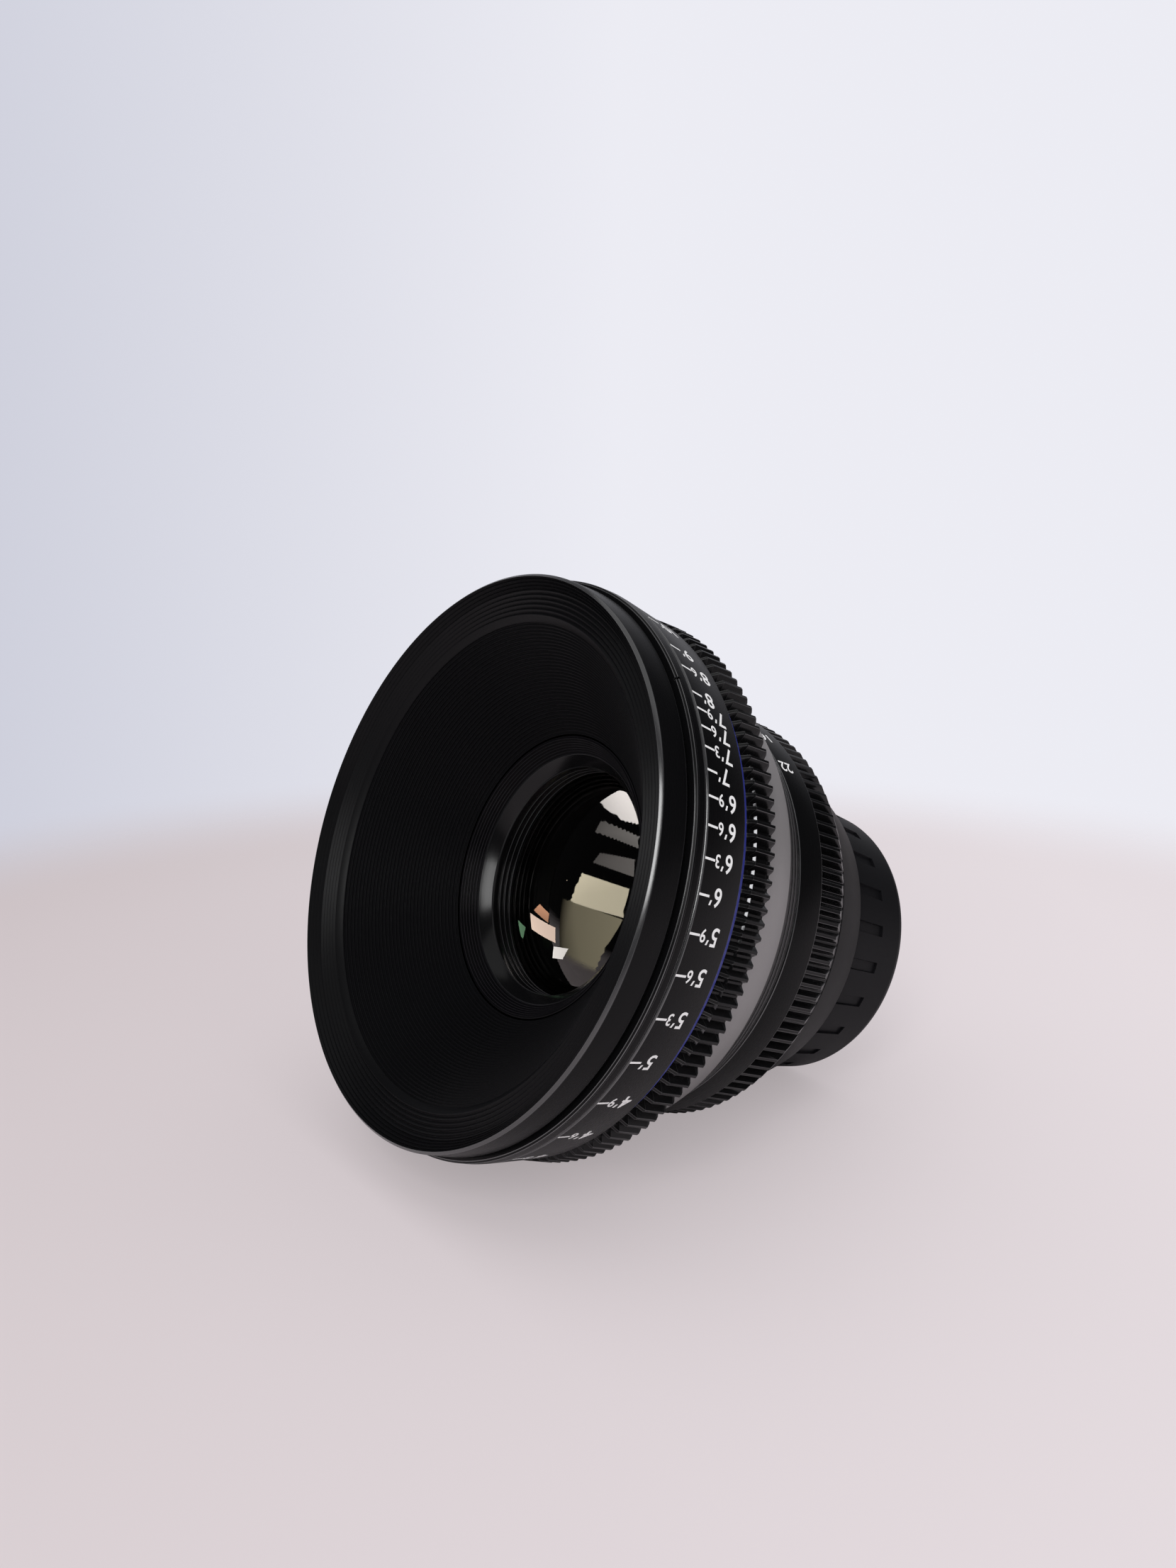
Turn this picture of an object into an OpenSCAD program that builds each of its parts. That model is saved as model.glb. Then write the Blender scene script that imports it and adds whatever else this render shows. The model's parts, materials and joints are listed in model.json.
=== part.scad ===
// Cinema prime lens lying on its side, with a push-on rear cap.
// A fixed barrel carries a geared focus ring and a geared iris ring. Turning the
// focus ring slides the optical block, and turning the iris ring swings the blades.
// Millimetres. Each piece is drawn along the optical axis, where z is the distance
// behind the front rim, and lie_down() then lays it on the floor as it rests.

/* [Front] */
// Outside radius of the front ring, the common matte box size
front_r = 57; // [55:0.5:60]
// Length of the front ring
front_len = 7.2; // [6.8:0.2:9]
// Length of the narrow stop ring behind it
stop_len = 2.3; // [1.6:0.1:4]
// Width of the ridged lip between rim and funnel
lip_w = 4.7; // [4.2:0.1:5.4]
// Depth of the funnel's small end behind the front rim
eye_z = 21.5; // [20.5:0.5:22.5]
// Steps on the funnel wall that trap stray light
baffle_steps = 33; // [12:1:40]

/* [Focus ring] */
// Gear module of both drive rings
gear_m = 0.8; // [0.5:0.1:1]
// Depth of the focus gear's pitch circle below the front ring
focus_drop = 1.4; // [1.2:0.1:1.8]
// Length of the scale band
scale_len = 11.7; // [11.3:0.2:14]
// Width of the focus gear
focus_gear_len = 7.9; // [6:0.2:10]
// Travel of the optics from the rest setting to the nearest one
near_travel = 5.6; // [3:0.1:5.8]
// Travel of the optics from the rest setting to infinity
far_travel = 3.1; // [1:0.1:4]

/* [Index ring] */
// Length of the conical index ring
index_len = 11.9; // [11:0.2:15]
// Drop in radius from the front to the rear of the index ring
index_drop = 5.3; // [4.6:0.1:6]
// Length of the guard ring between index ring and iris ring
guard_len = 6.4; // [5:0.2:9]

/* [Iris ring] */
// Depth of the iris gear's pitch circle below the rear of the index ring
iris_drop = 5.1; // [4.8:0.1:5.8]
// Length of the iris scale band
iris_scale_len = 6.7; // [5:0.1:9]
// Width of the iris gear
iris_gear_len = 9; // [7:0.2:11]
// Turn of the iris ring from fully open to fully stopped down, degrees
iris_turn = 85; // [60:1:90]
// Number of iris blades
blade_count = 14; // [8:1:14]
// Radius of the light path at the fully open iris
open_r = 17.3; // [16.5:0.1:17.5]

/* [Rear] */
// Length of the conical rear ring, up to the mount's seat
rear_len = 15; // [14:0.5:18]
// Outside radius of the mount's throat
throat_r = 27; // [26.5:0.1:27.5]
// Width of the mount's flange round the throat
flange_w = 6; // [5:0.1:6.5]
// Length of the throat behind the mount's seat
throat_len = 14; // [10:0.5:15]
// Thickness of the rear cap round the throat at its mouth
cap_t = 5; // [4.5:0.1:6]
// Length of the rear cap
cap_len = 20.7; // [19:0.5:26]
// Finger grooves round the cap
cap_grooves = 24; // [12:1:30]

/* [Fits] */
// Running clearance of turning and sliding pieces, on the radius
run_fit = 0.06; // [0.02:0.01:0.1]
// Open gap beside each turning ring
ring_gap = 0.5; // [0.3:0.1:0.8]

/* [Hidden] */
$fn = 96;
// Finer facets of the lens surfaces
lens_fn = 240;
// Overrun of every cut past the face that it opens
over = 1;
edge = 0.6;

// Places along the axis, in order from the front rim
z_lip = 4;
z_stop = front_len;
z_scale = z_stop + stop_len + ring_gap;
z_focus_gear = z_scale + scale_len;
z_focus_end = z_focus_gear + focus_gear_len;
z_index = z_focus_end + ring_gap;
z_guard = z_index + index_len;
z_iris = z_guard + guard_len + ring_gap;
z_iris_gear = z_iris + iris_scale_len;
z_iris_end = z_iris_gear + iris_gear_len;
z_rear = z_iris_end + ring_gap;
z_flange = z_rear + rear_len;
z_cap = z_flange + ring_gap;
z_end = z_cap + cap_len;

// Tooth heights of the two gears, and the tubes inside the focus ring
tip_h = gear_m;
root_h = 1.25 * gear_m;
pressure = 20;
focus_teeth = round(2 * (front_r - focus_drop) / gear_m);
focus_tip_r = gear_m * focus_teeth / 2 + tip_h;
focus_root_r = gear_m * focus_teeth / 2 - root_h;
focus_seat_r = focus_root_r - 1.6;
focus_bore_r = focus_seat_r - 1.9;
relief_r = focus_bore_r + 1.3;
barrel_r = focus_bore_r - run_fit;
tube_r = barrel_r - 3.5;
carrier_r = tube_r - run_fit;
stop_r = front_r + 1;
scale_front_r = front_r + 0.9;
scale_rear_r = focus_tip_r - 0.1;
accent_w = 0.7;
index_angle = -47.4;

// Radii behind the focus ring
index_front_r = focus_root_r - 1;
index_rear_r = index_front_r - index_drop;
step_r = barrel_r - 1.7;
neck_r = index_rear_r - 2.8;
iris_teeth = round(2 * (index_rear_r - iris_drop) / gear_m);
iris_tip_r = gear_m * iris_teeth / 2 + tip_h;
iris_root_r = gear_m * iris_teeth / 2 - root_h;
iris_seat_r = iris_root_r - 1;
iris_bore_r = iris_seat_r - 1.2;
iris_scale_r = iris_tip_r + 0.4;
rear_tube_r = iris_bore_r - run_fit;
rear_tube_in = rear_tube_r - 2.9;
iris_bevel = 2.5;

// Optical block, sized from the open iris outwards
pivot_r = open_r + 7;
chamber_r = pivot_r + 1.7;
optics_r = chamber_r + 3;
lens_1_r = optics_r - 4.3;
lens_2_r = optics_r - 7;

// Funnel wall: a ridged liner in a plain cone that meets the main tube
rim_w = 2.9;
lip_r = front_r - rim_w;
mouth_r = lip_r - lip_w;
eye_r = optics_r + 0.6;
eye_wall = 2.8;
funnel_z = 2.8;
liner_t = 0.43 * (tube_r - funnel_r(z_stop));
function cone_r(z) = tube_r + (z - z_stop) * (eye_r + eye_wall - tube_r) / (eye_z - z_stop);
function funnel_r(z) = mouth_r - (z - funnel_z) * (mouth_r - eye_r) / (eye_z - funnel_z);

// Places in the optical block, counted from the funnel's small end
trim_r = eye_r - 0.4;
z_tube = eye_z + 1.5;
z_trim_end = eye_z + 2.8;
z_seat_1 = eye_z + 10.25;
z_back_1 = eye_z + 14.1;
z_seat_2 = eye_z + 20.5;
z_cement_2 = eye_z + 23.1;
z_back_3 = eye_z + 30.8;
z_chamber = z_back_3 + 1.1;
blade_t = 0.15;
blade_step = 0.3;
z_blades = z_chamber + 0.5;
z_plate = z_blades + blade_count * blade_step + 0.3;
z_cell = z_plate + 1.6;
throat_wall = 1.8;
cell_r = throat_r - throat_wall - 1.2;
lens_4_r = cell_r - 5;
lens_6_r = cell_r - 4;
cell_open = lens_4_r - 1.7;
bend_4 = 1.26 * lens_4_r;
bend_5 = 1.68 * lens_4_r;
bend_6 = 4.5 * lens_6_r;
centre_5 = 0.342 * lens_4_r;
centre_6 = 0.2 * lens_6_r;
z_front_4 = z_cell + 1;
z_cement_5 = z_front_4 + 0.368 * lens_4_r;
z_front_6 = z_cement_5 + centre_5 + 0.5;
z_cell_end = z_front_6 + 3.6;
// Depth of a spherical face at a distance from the axis
function sag(bend, r) = bend - sqrt(bend * bend - r * r);

// Focus carrier, its three followers, and the wall behind it
follower_r = 2;
follower_count = 3;
z_follow = z_scale + follower_r + near_travel + 1.1;
z_carrier = z_follow - follower_r - 1.2;
carrier_wall = 2;
disc_t = 2.5;
z_disc = z_focus_end - 0.6;
z_wall = z_disc + disc_t + far_travel + 2;
wall_t = 3;
z_joint = z_wall + wall_t;

// Iris drive: a pin from the ring between the two prongs of a sleeve
pin_r = 1.5;
z_pin = z_iris + 3.2;
sleeve_r = optics_r + run_fit;
sleeve_t = 1.94;
sleeve_out = sleeve_r + sleeve_t;
sleeve_room = rear_tube_in - sleeve_out;
sleeve_len = 8;
prong_w = 1.6;
prong_top = sleeve_out + 0.58 * sleeve_room;
pin_in = sleeve_out + 0.1 * sleeve_room;
prong_over = 2.5;
slot_spare = 4;

// Blades pivot on a circle outside the light path
pivot_pin_r = 0.6;
ear_r = 1.2;
blade_in = open_r + 0.1;
blade_out = blade_in + 5.2;
blade_from = -4;
blade_to = 72;

// Screws
screw_r = 0.8;
screw_head_r = 1.5;
screw_head_h = 1.2;
screw_len = 3.5;
barrel_screws_n = 4;
mount_screws_n = 4;
barrel_screw_c = (rear_tube_in + neck_r) / 2;
flange_r = throat_r + flange_w;
mount_screw_c = throat_r + flange_w / 2;
z_mount = z_flange - 3.6;

// Rear cap
cap_round = 3.5;
cap_draft = 1.8;
cap_wall = 1.6;
cap_r = throat_r + cap_t;
cap_rear_r = cap_r - cap_draft;
cap_round_r = cap_rear_r - cap_round;
z_cap_round = z_end - cap_round;
round_steps = 8;
groove_w = 2.2;
groove_len = 9.5;
groove_depth = 0.5;
groove_from = 1.7;

// Resting pose: the focus gear's rear edge and the cap's or the iris gear's edge
// touch the floor, and the smaller of the two tilts is the one that clears both
rest_dr = focus_tip_r - cap_round_r;
rest_dz = z_cap_round - z_focus_end;
tilt_cap = acos(cap_round / norm([rest_dr, rest_dz])) - atan2(rest_dz, rest_dr);
z_iris_tip = z_iris_end - iris_bevel;
tilt_iris = atan2(focus_tip_r - iris_tip_r, z_iris_tip - z_focus_end);
tilt = min(tilt_cap, tilt_iris);
lift = focus_tip_r * cos(tilt) + z_focus_end * sin(tilt);
y_front = -(front_r - edge) * sin(tilt);
y_back = cap_round_r * sin(tilt) + z_cap_round * cos(tilt) + cap_round;
y_middle = (y_front + y_back) / 2;

function two_digits(i) = str(i < 10 ? "0" : "", i);
function blade_name(i) = str("iris_blade_", two_digits(i));
BLADES = [for (i = [1 : blade_count]) blade_name(i)];

black = [0.07, 0.07, 0.08];
satin = [0.14, 0.14, 0.15];
grey = [0.62, 0.62, 0.63];
steel = [0.72, 0.72, 0.74];
glass = [0.55, 0.65, 0.62];
blue = [0.2, 0.25, 0.7];
plastic = [0.2, 0.2, 0.21];

// Lays a piece drawn along the optical axis on the floor, front towards -Y
module lie_down() {
    translate([0, -y_middle, lift]) rotate([-90 - tilt, 0, 0]) children();
}

// Solid of revolution from [radius, z] points
module turned(points) {
    rotate_extrude() polygon(points);
}

// Plain ring between two radii and two places along the axis
module ring(r_in, r_out, z0, z1) {
    turned([[r_in, z0], [r_out, z0], [r_out, z1], [r_in, z1]]);
}

// Round bar along the axis at a distance from it
module bar(r, at, z0, z1) {
    translate([at, 0, z0]) cylinder(r = r, h = z1 - z0);
}

// Repeats a piece evenly round the axis
module around(n) {
    for (i = [0 : n - 1]) rotate(360 * i / n) children();
}

// Straight-flanked teeth, four points for each tooth
function tooth_half(at, r) = (PI * gear_m / 4 - at * tan(pressure)) / r * 180 / PI;
function gear_points(n, r) =
    let (r_tip = r + tip_h, r_root = r - root_h)
    let (a_tip = tooth_half(tip_h, r_tip), a_root = tooth_half(-root_h, r_root))
    [for (i = [0 : n - 1]) each let (a = 360 * i / n) [
        r_root * [cos(a - a_root), sin(a - a_root)],
        r_tip * [cos(a - a_tip), sin(a - a_tip)],
        r_tip * [cos(a + a_tip), sin(a + a_tip)],
        r_root * [cos(a + a_root), sin(a + a_root)]]];

// Gear ring of a number of teeth on a seat radius
module gear_ring(n, r_seat, len) {
    difference() {
        linear_extrude(len) polygon(gear_points(n, gear_m * n / 2));
        translate([0, 0, -over]) cylinder(r = r_seat, h = len + 2 * over);
    }
}

// Front ring with a ridged lip that runs into the funnel
module front_ring() {
    lip_z = 2;
    ridges = 5;
    pitch = lip_w / ridges;
    slope = (funnel_z - lip_z) / ridges;
    ridge_h = 0.45;
    rear_edge = 1.2;
    lip = [for (i = [0 : ridges - 1]) each [
        [mouth_r + i * pitch, funnel_z - i * slope],
        [mouth_r + (i + 0.5) * pitch, funnel_z - i * slope + ridge_h]]];
    color(black) turned(concat(
        [[front_r - edge, 0], [front_r, edge], [front_r, z_stop - rear_edge],
         [front_r - 0.8, z_stop],
         [tube_r, z_stop], [cone_r(z_lip), z_lip], [funnel_r(z_lip), z_lip]],
        lip, [[lip_r, lip_z]]));
}

// Stop ring with an index notch at its front edge
module stop_ring() {
    notch_w = 0.5;
    notch_h = 0.8;
    color(black) difference() {
        turned([[barrel_r, z_stop], [stop_r - 0.4, z_stop], [stop_r, z_stop + 0.4],
                [stop_r, z_stop + stop_len], [barrel_r, z_stop + stop_len]]);
        rotate(index_angle) translate([stop_r - notch_h, -notch_w / 2, z_stop - over])
            cube([notch_h + over, notch_w, notch_h + over]);
    }
}

// Plain cone behind the funnel's liner
module front_cone() {
    color(black) turned([
        [funnel_r(z_lip) + liner_t, z_lip], [cone_r(z_lip), z_lip],
        [cone_r(eye_z), eye_z], [eye_r + liner_t, eye_z]]);
}

// Liner whose wall comes down in fine steps
module ridged_baffle() {
    dz = (eye_z - z_lip) / baffle_steps;
    stairs = [for (i = [0 : baffle_steps - 1]) each let (z = eye_z - i * dz) [
        [funnel_r(z), z], [funnel_r(z - dz), z]]];
    color(black) turned(concat(
        [[funnel_r(z_lip) + liner_t, z_lip], [eye_r + liner_t, eye_z]], stairs,
        [[funnel_r(z_lip), z_lip]]));
}

// Main tube: the focus ring turns on it, the carrier slides in it on three slots
module main_barrel() {
    slot_w = 2 * follower_r + 0.2;
    slot_from = z_follow - near_travel - follower_r - 0.3;
    slot_to = z_follow + far_travel + follower_r + 0.3;
    color(satin) difference() {
        turned([[tube_r, z_stop], [barrel_r, z_stop], [barrel_r, z_index], [step_r, z_index],
                [step_r, z_wall], [neck_r, z_wall], [neck_r, z_joint], [rear_tube_in, z_joint],
                [rear_tube_in, z_wall], [tube_r, z_wall]]);
        around(follower_count) translate([tube_r - over, -slot_w / 2, slot_from])
            cube([barrel_r - tube_r + 2 * over, slot_w, slot_to - slot_from]);
        around(barrel_screws_n) bar(screw_r, barrel_screw_c, z_joint - screw_len, z_joint + over);
    }
}

// Focus ring: scale band, seat of the gear, and a relief for the followers
module focus_ring() {
    relief_from = z_scale + 0.8;
    relief_to = z_follow + far_travel + follower_r + 0.4;
    color(black) turned([
        [focus_bore_r, z_scale], [scale_front_r - 0.3, z_scale], [scale_front_r, z_scale + 0.3],
        [scale_rear_r, z_focus_gear - accent_w], [focus_seat_r, z_focus_gear - accent_w],
        [focus_seat_r, z_focus_end], [focus_bore_r, z_focus_end], [focus_bore_r, relief_to],
        [relief_r, relief_to], [relief_r, relief_from], [focus_bore_r, relief_from]]);
}

module focus_gear() {
    color(black) translate([0, 0, z_focus_gear])
        gear_ring(focus_teeth, focus_seat_r, focus_gear_len);
}

// Thin coloured ring between scale band and gear
module accent_ring() {
    color(blue) ring(focus_seat_r, scale_rear_r, z_focus_gear - accent_w, z_focus_gear);
}

// Grey conical ring that carries the reading line of the iris scale
module index_ring() {
    color(grey) turned([
        [step_r, z_index], [index_front_r, z_index], [index_rear_r, z_guard],
        [neck_r, z_guard], [neck_r, z_wall], [step_r, z_wall]]);
}

// Black ring with two fine grooves
module guard_ring() {
    front = index_rear_r - 0.3;
    back = iris_scale_r + 0.3;
    groove = 0.4;
    function guard_r(z) = front + (back - front) * (z - z_guard) / guard_len;
    function groove_at(z) = [
        [guard_r(z), z], [guard_r(z) - groove, z],
        [guard_r(z) - groove, z + groove], [guard_r(z + groove), z + groove]];
    color(black) turned(concat(
        [[rear_tube_r, z_guard], [front, z_guard]],
        groove_at(z_guard + 0.36 * guard_len), groove_at(z_guard + 0.66 * guard_len),
        [[back, z_guard + guard_len], [rear_tube_r, z_guard + guard_len]]));
}

// Rear tube with a slot that lets the iris pin through
module rear_barrel() {
    spare = slot_spare;
    wedge_r = 2 * rear_tube_r;
    slot = [for (a = [spare, -iris_turn / 2, -iris_turn - spare]) wedge_r * [cos(a), sin(a)]];
    slot_h = pin_r + 0.3;
    color(satin) difference() {
        turned([[rear_tube_in, z_joint], [neck_r, z_joint], [neck_r, z_guard],
                [rear_tube_r, z_guard], [rear_tube_r, z_rear], [rear_tube_in, z_rear]]);
        translate([0, 0, z_pin - slot_h]) linear_extrude(2 * slot_h) polygon(concat([[0, 0]], slot));
        around(barrel_screws_n) {
            bar(screw_r, barrel_screw_c, z_joint - over, z_guard);
            bar(screw_head_r, barrel_screw_c, z_guard - screw_head_h, z_guard + over);
        }
    }
}

module barrel_screws() {
    color(steel) around(barrel_screws_n) {
        bar(screw_r, barrel_screw_c, z_joint - screw_len, z_guard - screw_head_h);
        bar(screw_head_r, barrel_screw_c, z_guard - screw_head_h, z_guard);
    }
}

// Iris ring: scale band and seat of the gear
module iris_ring() {
    color(black) difference() {
        turned([[iris_bore_r, z_iris], [iris_scale_r - 0.3, z_iris], [iris_scale_r, z_iris + 0.3],
                [iris_scale_r, z_iris_gear], [iris_seat_r, z_iris_gear],
                [iris_seat_r, z_iris_end], [iris_bore_r, z_iris_end]]);
        translate([iris_bore_r - over, 0, z_pin]) rotate([0, 90, 0])
            cylinder(r = pin_r, h = iris_seat_r - iris_bore_r + over);
    }
}

// Iris gear with a bevel on the rear ends of its teeth
module iris_gear() {
    low = iris_root_r + 0.12;
    wide = iris_tip_r + over;
    slope = iris_bevel / (iris_tip_r - low);
    color(black) intersection() {
        translate([0, 0, z_iris_gear]) gear_ring(iris_teeth, iris_seat_r, iris_gear_len);
        turned([[0, z_iris_gear - over], [wide, z_iris_gear - over],
                [wide, z_iris_tip - over * slope], [low - over / slope, z_iris_end + over],
                [0, z_iris_end + over]]);
    }
}

module iris_pin() {
    color(steel) translate([pin_in, 0, z_pin]) rotate([0, 90, 0])
        cylinder(r = pin_r, h = iris_seat_r - pin_in);
}

// Conical rear ring with a spigot at the front and a recess for the mount
module rear_ring() {
    spigot = 3;
    land = 2.3;
    wide = rear_tube_in - 0.33 * sleeve_room;
    seat = throat_r + 1.4;
    color(black) difference() {
        turned([[wide, z_rear - spigot], [rear_tube_in, z_rear - spigot], [rear_tube_in, z_rear],
                [rear_tube_r + 0.2, z_rear], [rear_tube_r + 0.2, z_rear + land],
                [flange_r + 1.9, z_flange - 1], [flange_r + 1.5, z_flange - edge],
                [flange_r, z_flange - edge], [flange_r, z_mount], [seat, z_mount],
                [seat, z_mount - 4.4], [wide, z_mount - 4.4]]);
        around(mount_screws_n) bar(screw_r, mount_screw_c, z_mount - screw_len, z_mount + over);
    }
}

// Mount: a flange with a locating notch and a throat that enters the camera
module mount_flange() {
    notch_w = 4.6;
    notch_h = 1.9;
    color(steel) difference() {
        turned([[throat_r - throat_wall, z_mount], [flange_r, z_mount], [flange_r, z_flange],
                [throat_r, z_flange], [throat_r, z_flange + throat_len - edge],
                [throat_r - edge, z_flange + throat_len],
                [throat_r - throat_wall, z_flange + throat_len]]);
        rotate(45) translate([flange_r - notch_h, -notch_w / 2, z_mount - over])
            cube([notch_h + over, notch_w, z_flange - z_mount + 2 * over]);
        around(mount_screws_n) {
            bar(screw_r, mount_screw_c, z_mount - over, z_flange);
            bar(screw_head_r, mount_screw_c, z_flange - screw_head_h, z_flange + over);
        }
    }
}

module mount_screws() {
    color(steel) around(mount_screws_n) {
        bar(screw_r, mount_screw_c, z_mount - screw_len, z_flange - screw_head_h);
        bar(screw_head_r, mount_screw_c, z_flange - screw_head_h, z_flange);
    }
}

// Sliding cup round the optical block
module focus_carrier() {
    color(satin) difference() {
        turned([[carrier_r - carrier_wall, z_carrier], [carrier_r, z_carrier],
                [carrier_r, z_disc + disc_t], [optics_r, z_disc + disc_t], [optics_r, z_disc],
                [carrier_r - carrier_wall, z_disc]]);
        around(follower_count) translate([carrier_r - carrier_wall - over, 0, z_follow])
            rotate([0, 90, 0]) cylinder(r = follower_r, h = carrier_wall + 2 * over);
    }
}

// Pins that follow the focus ring through the barrel's slots
module cam_followers() {
    from = carrier_r - carrier_wall;
    color(steel) around(follower_count) translate([from, 0, z_follow])
        rotate([0, 90, 0]) cylinder(r = follower_r, h = relief_r - 0.3 - from);
}

// Tube that holds the front elements and the iris
module optics_tube() {
    trim_seat = trim_r - 1.6;
    nut_r = lens_1_r + 1.5;
    ledge_r = lens_2_r - 1.5;
    color(satin) turned([
        [trim_seat, z_tube], [optics_r, z_tube], [optics_r, z_cell], [chamber_r, z_cell],
        [chamber_r, z_chamber], [lens_2_r, z_chamber], [lens_2_r, z_seat_2], [ledge_r, z_seat_2],
        [ledge_r, z_back_1], [lens_1_r, z_back_1], [lens_1_r, z_seat_1], [nut_r, z_seat_1],
        [nut_r, z_trim_end], [trim_seat, z_trim_end]]);
}

// Ridged ring at the front of the optical block
module trim_ring() {
    ridges = 6;
    outer = trim_r - 0.6;
    inner = lens_1_r + 1.5;
    dz = (z_trim_end - eye_z) / ridges;
    dr = (outer - inner) / ridges;
    stairs = [for (i = [0 : ridges - 1]) each let (r = inner + i * dr, z = z_trim_end - i * dz) [
        [r, z], [r + dr, z]]];
    color(satin) turned(concat(
        [[trim_r, eye_z], [trim_r, z_tube], [trim_r - 1.6, z_tube], [trim_r - 1.6, z_trim_end]],
        stairs, [[outer, eye_z]]));
}

// Smooth ring that clamps the front element
module front_retainer() {
    outer = lens_1_r + 1.5;
    bore = lens_1_r - 0.9;
    color(black) turned([
        [outer - 0.2, z_trim_end], [outer, z_trim_end], [outer, z_seat_1], [bore, z_seat_1],
        [bore, z_trim_end + 2.2]]);
}

// Front element, strongly curved at the front and flat at the back
module lens_1() {
    bend = 70;
    vertex = z_seat_1 + 0.05 - bend + sqrt(bend * bend - pow(lens_1_r - 0.9, 2));
    color(glass) intersection() {
        translate([0, 0, vertex - over]) cylinder(r = lens_1_r, h = z_back_1 - vertex + over);
        translate([0, 0, vertex + bend]) sphere(r = bend, $fn = lens_fn);
    }
}

// First half of the front doublet
module lens_2() {
    bend = 38;
    vertex = z_back_1 + 1;
    color(glass) intersection() {
        translate([0, 0, vertex - over]) cylinder(r = lens_2_r, h = z_cement_2 - vertex + over);
        translate([0, 0, vertex + bend]) sphere(r = bend, $fn = lens_fn);
    }
}

// Second half of the front doublet, hollow towards the iris
module lens_3() {
    bend = 26;
    centre_t = 1.9;
    color(glass) difference() {
        translate([0, 0, z_cement_2]) cylinder(r = lens_2_r, h = z_back_3 - z_cement_2);
        translate([0, 0, z_cement_2 + centre_t + bend]) sphere(r = bend, $fn = lens_fn);
    }
}

module stop_retainer() {
    color(black) ring(open_r, lens_2_r, z_back_3, z_chamber);
}

// Plate with a bearing hole for each blade
module iris_plate() {
    color(satin) difference() {
        ring(open_r, chamber_r, z_plate, z_cell);
        around(blade_count) bar(pivot_pin_r + run_fit, pivot_r, z_plate - over, z_cell + over);
    }
}

// One blade, each in its own layer, with its pivot pin
module iris_blade(i) {
    z = z_blades + (i - 1) * blade_step;
    wedge_r = 2 * blade_out;
    middle = (blade_from + blade_to) / 2;
    wedge = [for (a = [blade_from, middle, blade_to]) wedge_r * [cos(a), sin(a)]];
    color(black) rotate(360 * (i - 1) / blade_count) {
        intersection() {
            ring(blade_in, blade_out, z, z + blade_t);
            translate([0, 0, z - over]) linear_extrude(blade_t + 2 * over)
                polygon(concat([[0, 0]], wedge));
        }
        bar(ear_r, pivot_r, z, z + blade_t);
        translate([blade_out - over, -ear_r / 2, z])
            cube([pivot_r - blade_out + over, ear_r, blade_t]);
        bar(pivot_pin_r, pivot_r, z, z_cell - 0.4);
    }
}

// Tube behind the iris that holds the rear elements
module rear_cell() {
    plate_t = 2;
    color(satin) turned([
        [cell_open, z_cell], [optics_r, z_cell], [optics_r, z_cell + plate_t],
        [cell_r, z_cell + plate_t],
        [cell_r, z_cell_end], [lens_6_r, z_cell_end], [lens_6_r, z_front_6],
        [lens_4_r, z_front_6], [lens_4_r, z_front_4], [cell_open, z_front_4]]);
}

// First half of the rear doublet, hollow towards the iris
module lens_4() {
    centre_t = 1.3;
    color(glass) difference() {
        translate([0, 0, z_front_4]) cylinder(r = lens_4_r, h = z_cement_5 - z_front_4);
        translate([0, 0, z_cement_5 - centre_t - bend_4]) sphere(r = bend_4, $fn = lens_fn);
    }
}

// Second half of the rear doublet
module lens_5() {
    color(glass) intersection() {
        translate([0, 0, z_cement_5]) cylinder(r = lens_4_r, h = centre_5 + over);
        translate([0, 0, z_cement_5 + centre_5 - bend_5]) sphere(r = bend_5, $fn = lens_fn);
    }
}

// Spacer that stands on the bend of the fifth element
module rear_spacer() {
    inner = lens_4_r - 2;
    color(black) ring(inner, lens_4_r, z_cement_5 + centre_5 - sag(bend_5, inner) + 0.05, z_front_6);
}

// Rear element
module lens_6() {
    color(glass) intersection() {
        translate([0, 0, z_front_6]) cylinder(r = lens_6_r, h = centre_6 + over);
        translate([0, 0, z_front_6 + centre_6 - bend_6]) sphere(r = bend_6, $fn = lens_fn);
    }
}

// Ring that clamps the rear element on its bend
module rear_retainer() {
    inner = lens_6_r - 1.4;
    color(black) ring(inner, lens_6_r, z_front_6 + centre_6 - sag(bend_6, inner) + 0.05, z_cell_end);
}

// Sleeve that turns on the optical block, with two prongs along the axis
module iris_sleeve() {
    prong_from = z_pin - far_travel - prong_over;
    prong_to = z_pin + near_travel + prong_over;
    prong_in = sleeve_r + sleeve_t / 2;
    z0 = (prong_from + prong_to - sleeve_len) / 2;
    color(satin) {
        ring(sleeve_r, sleeve_out, z0, z0 + sleeve_len);
        for (side = [0, 1]) mirror([0, side, 0])
            translate([prong_in, pin_r + run_fit, prong_from])
                cube([prong_top - prong_in, prong_w, prong_to - prong_from]);
    }
}

// Hollow cap that grips the throat, with finger grooves round it
module rear_cap() {
    grip_len = 4;
    grip_r = throat_r + run_fit;
    hollow_r = cap_rear_r - cap_wall;
    back_t = 2.2;
    rim = [for (i = [0 : round_steps]) let (a = 90 * i / round_steps)
        [cap_round_r + cap_round * cos(a), z_cap_round + cap_round * sin(a)]];
    lean = atan2(cap_draft, z_cap_round - z_cap);
    color(plastic) difference() {
        turned(concat([[grip_r, z_cap], [cap_r, z_cap]], rim,
            [[0, z_end], [0, z_end - back_t], [hollow_r, z_end - back_t],
             [hollow_r, z_cap + grip_len], [grip_r, z_cap + grip_len]]));
        around(cap_grooves) translate([cap_r, 0, z_cap]) rotate([0, -lean, 0])
            translate([-groove_depth, -groove_w / 2, groove_from])
                cube([groove_depth + over, groove_w, groove_len]);
    }
}

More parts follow.
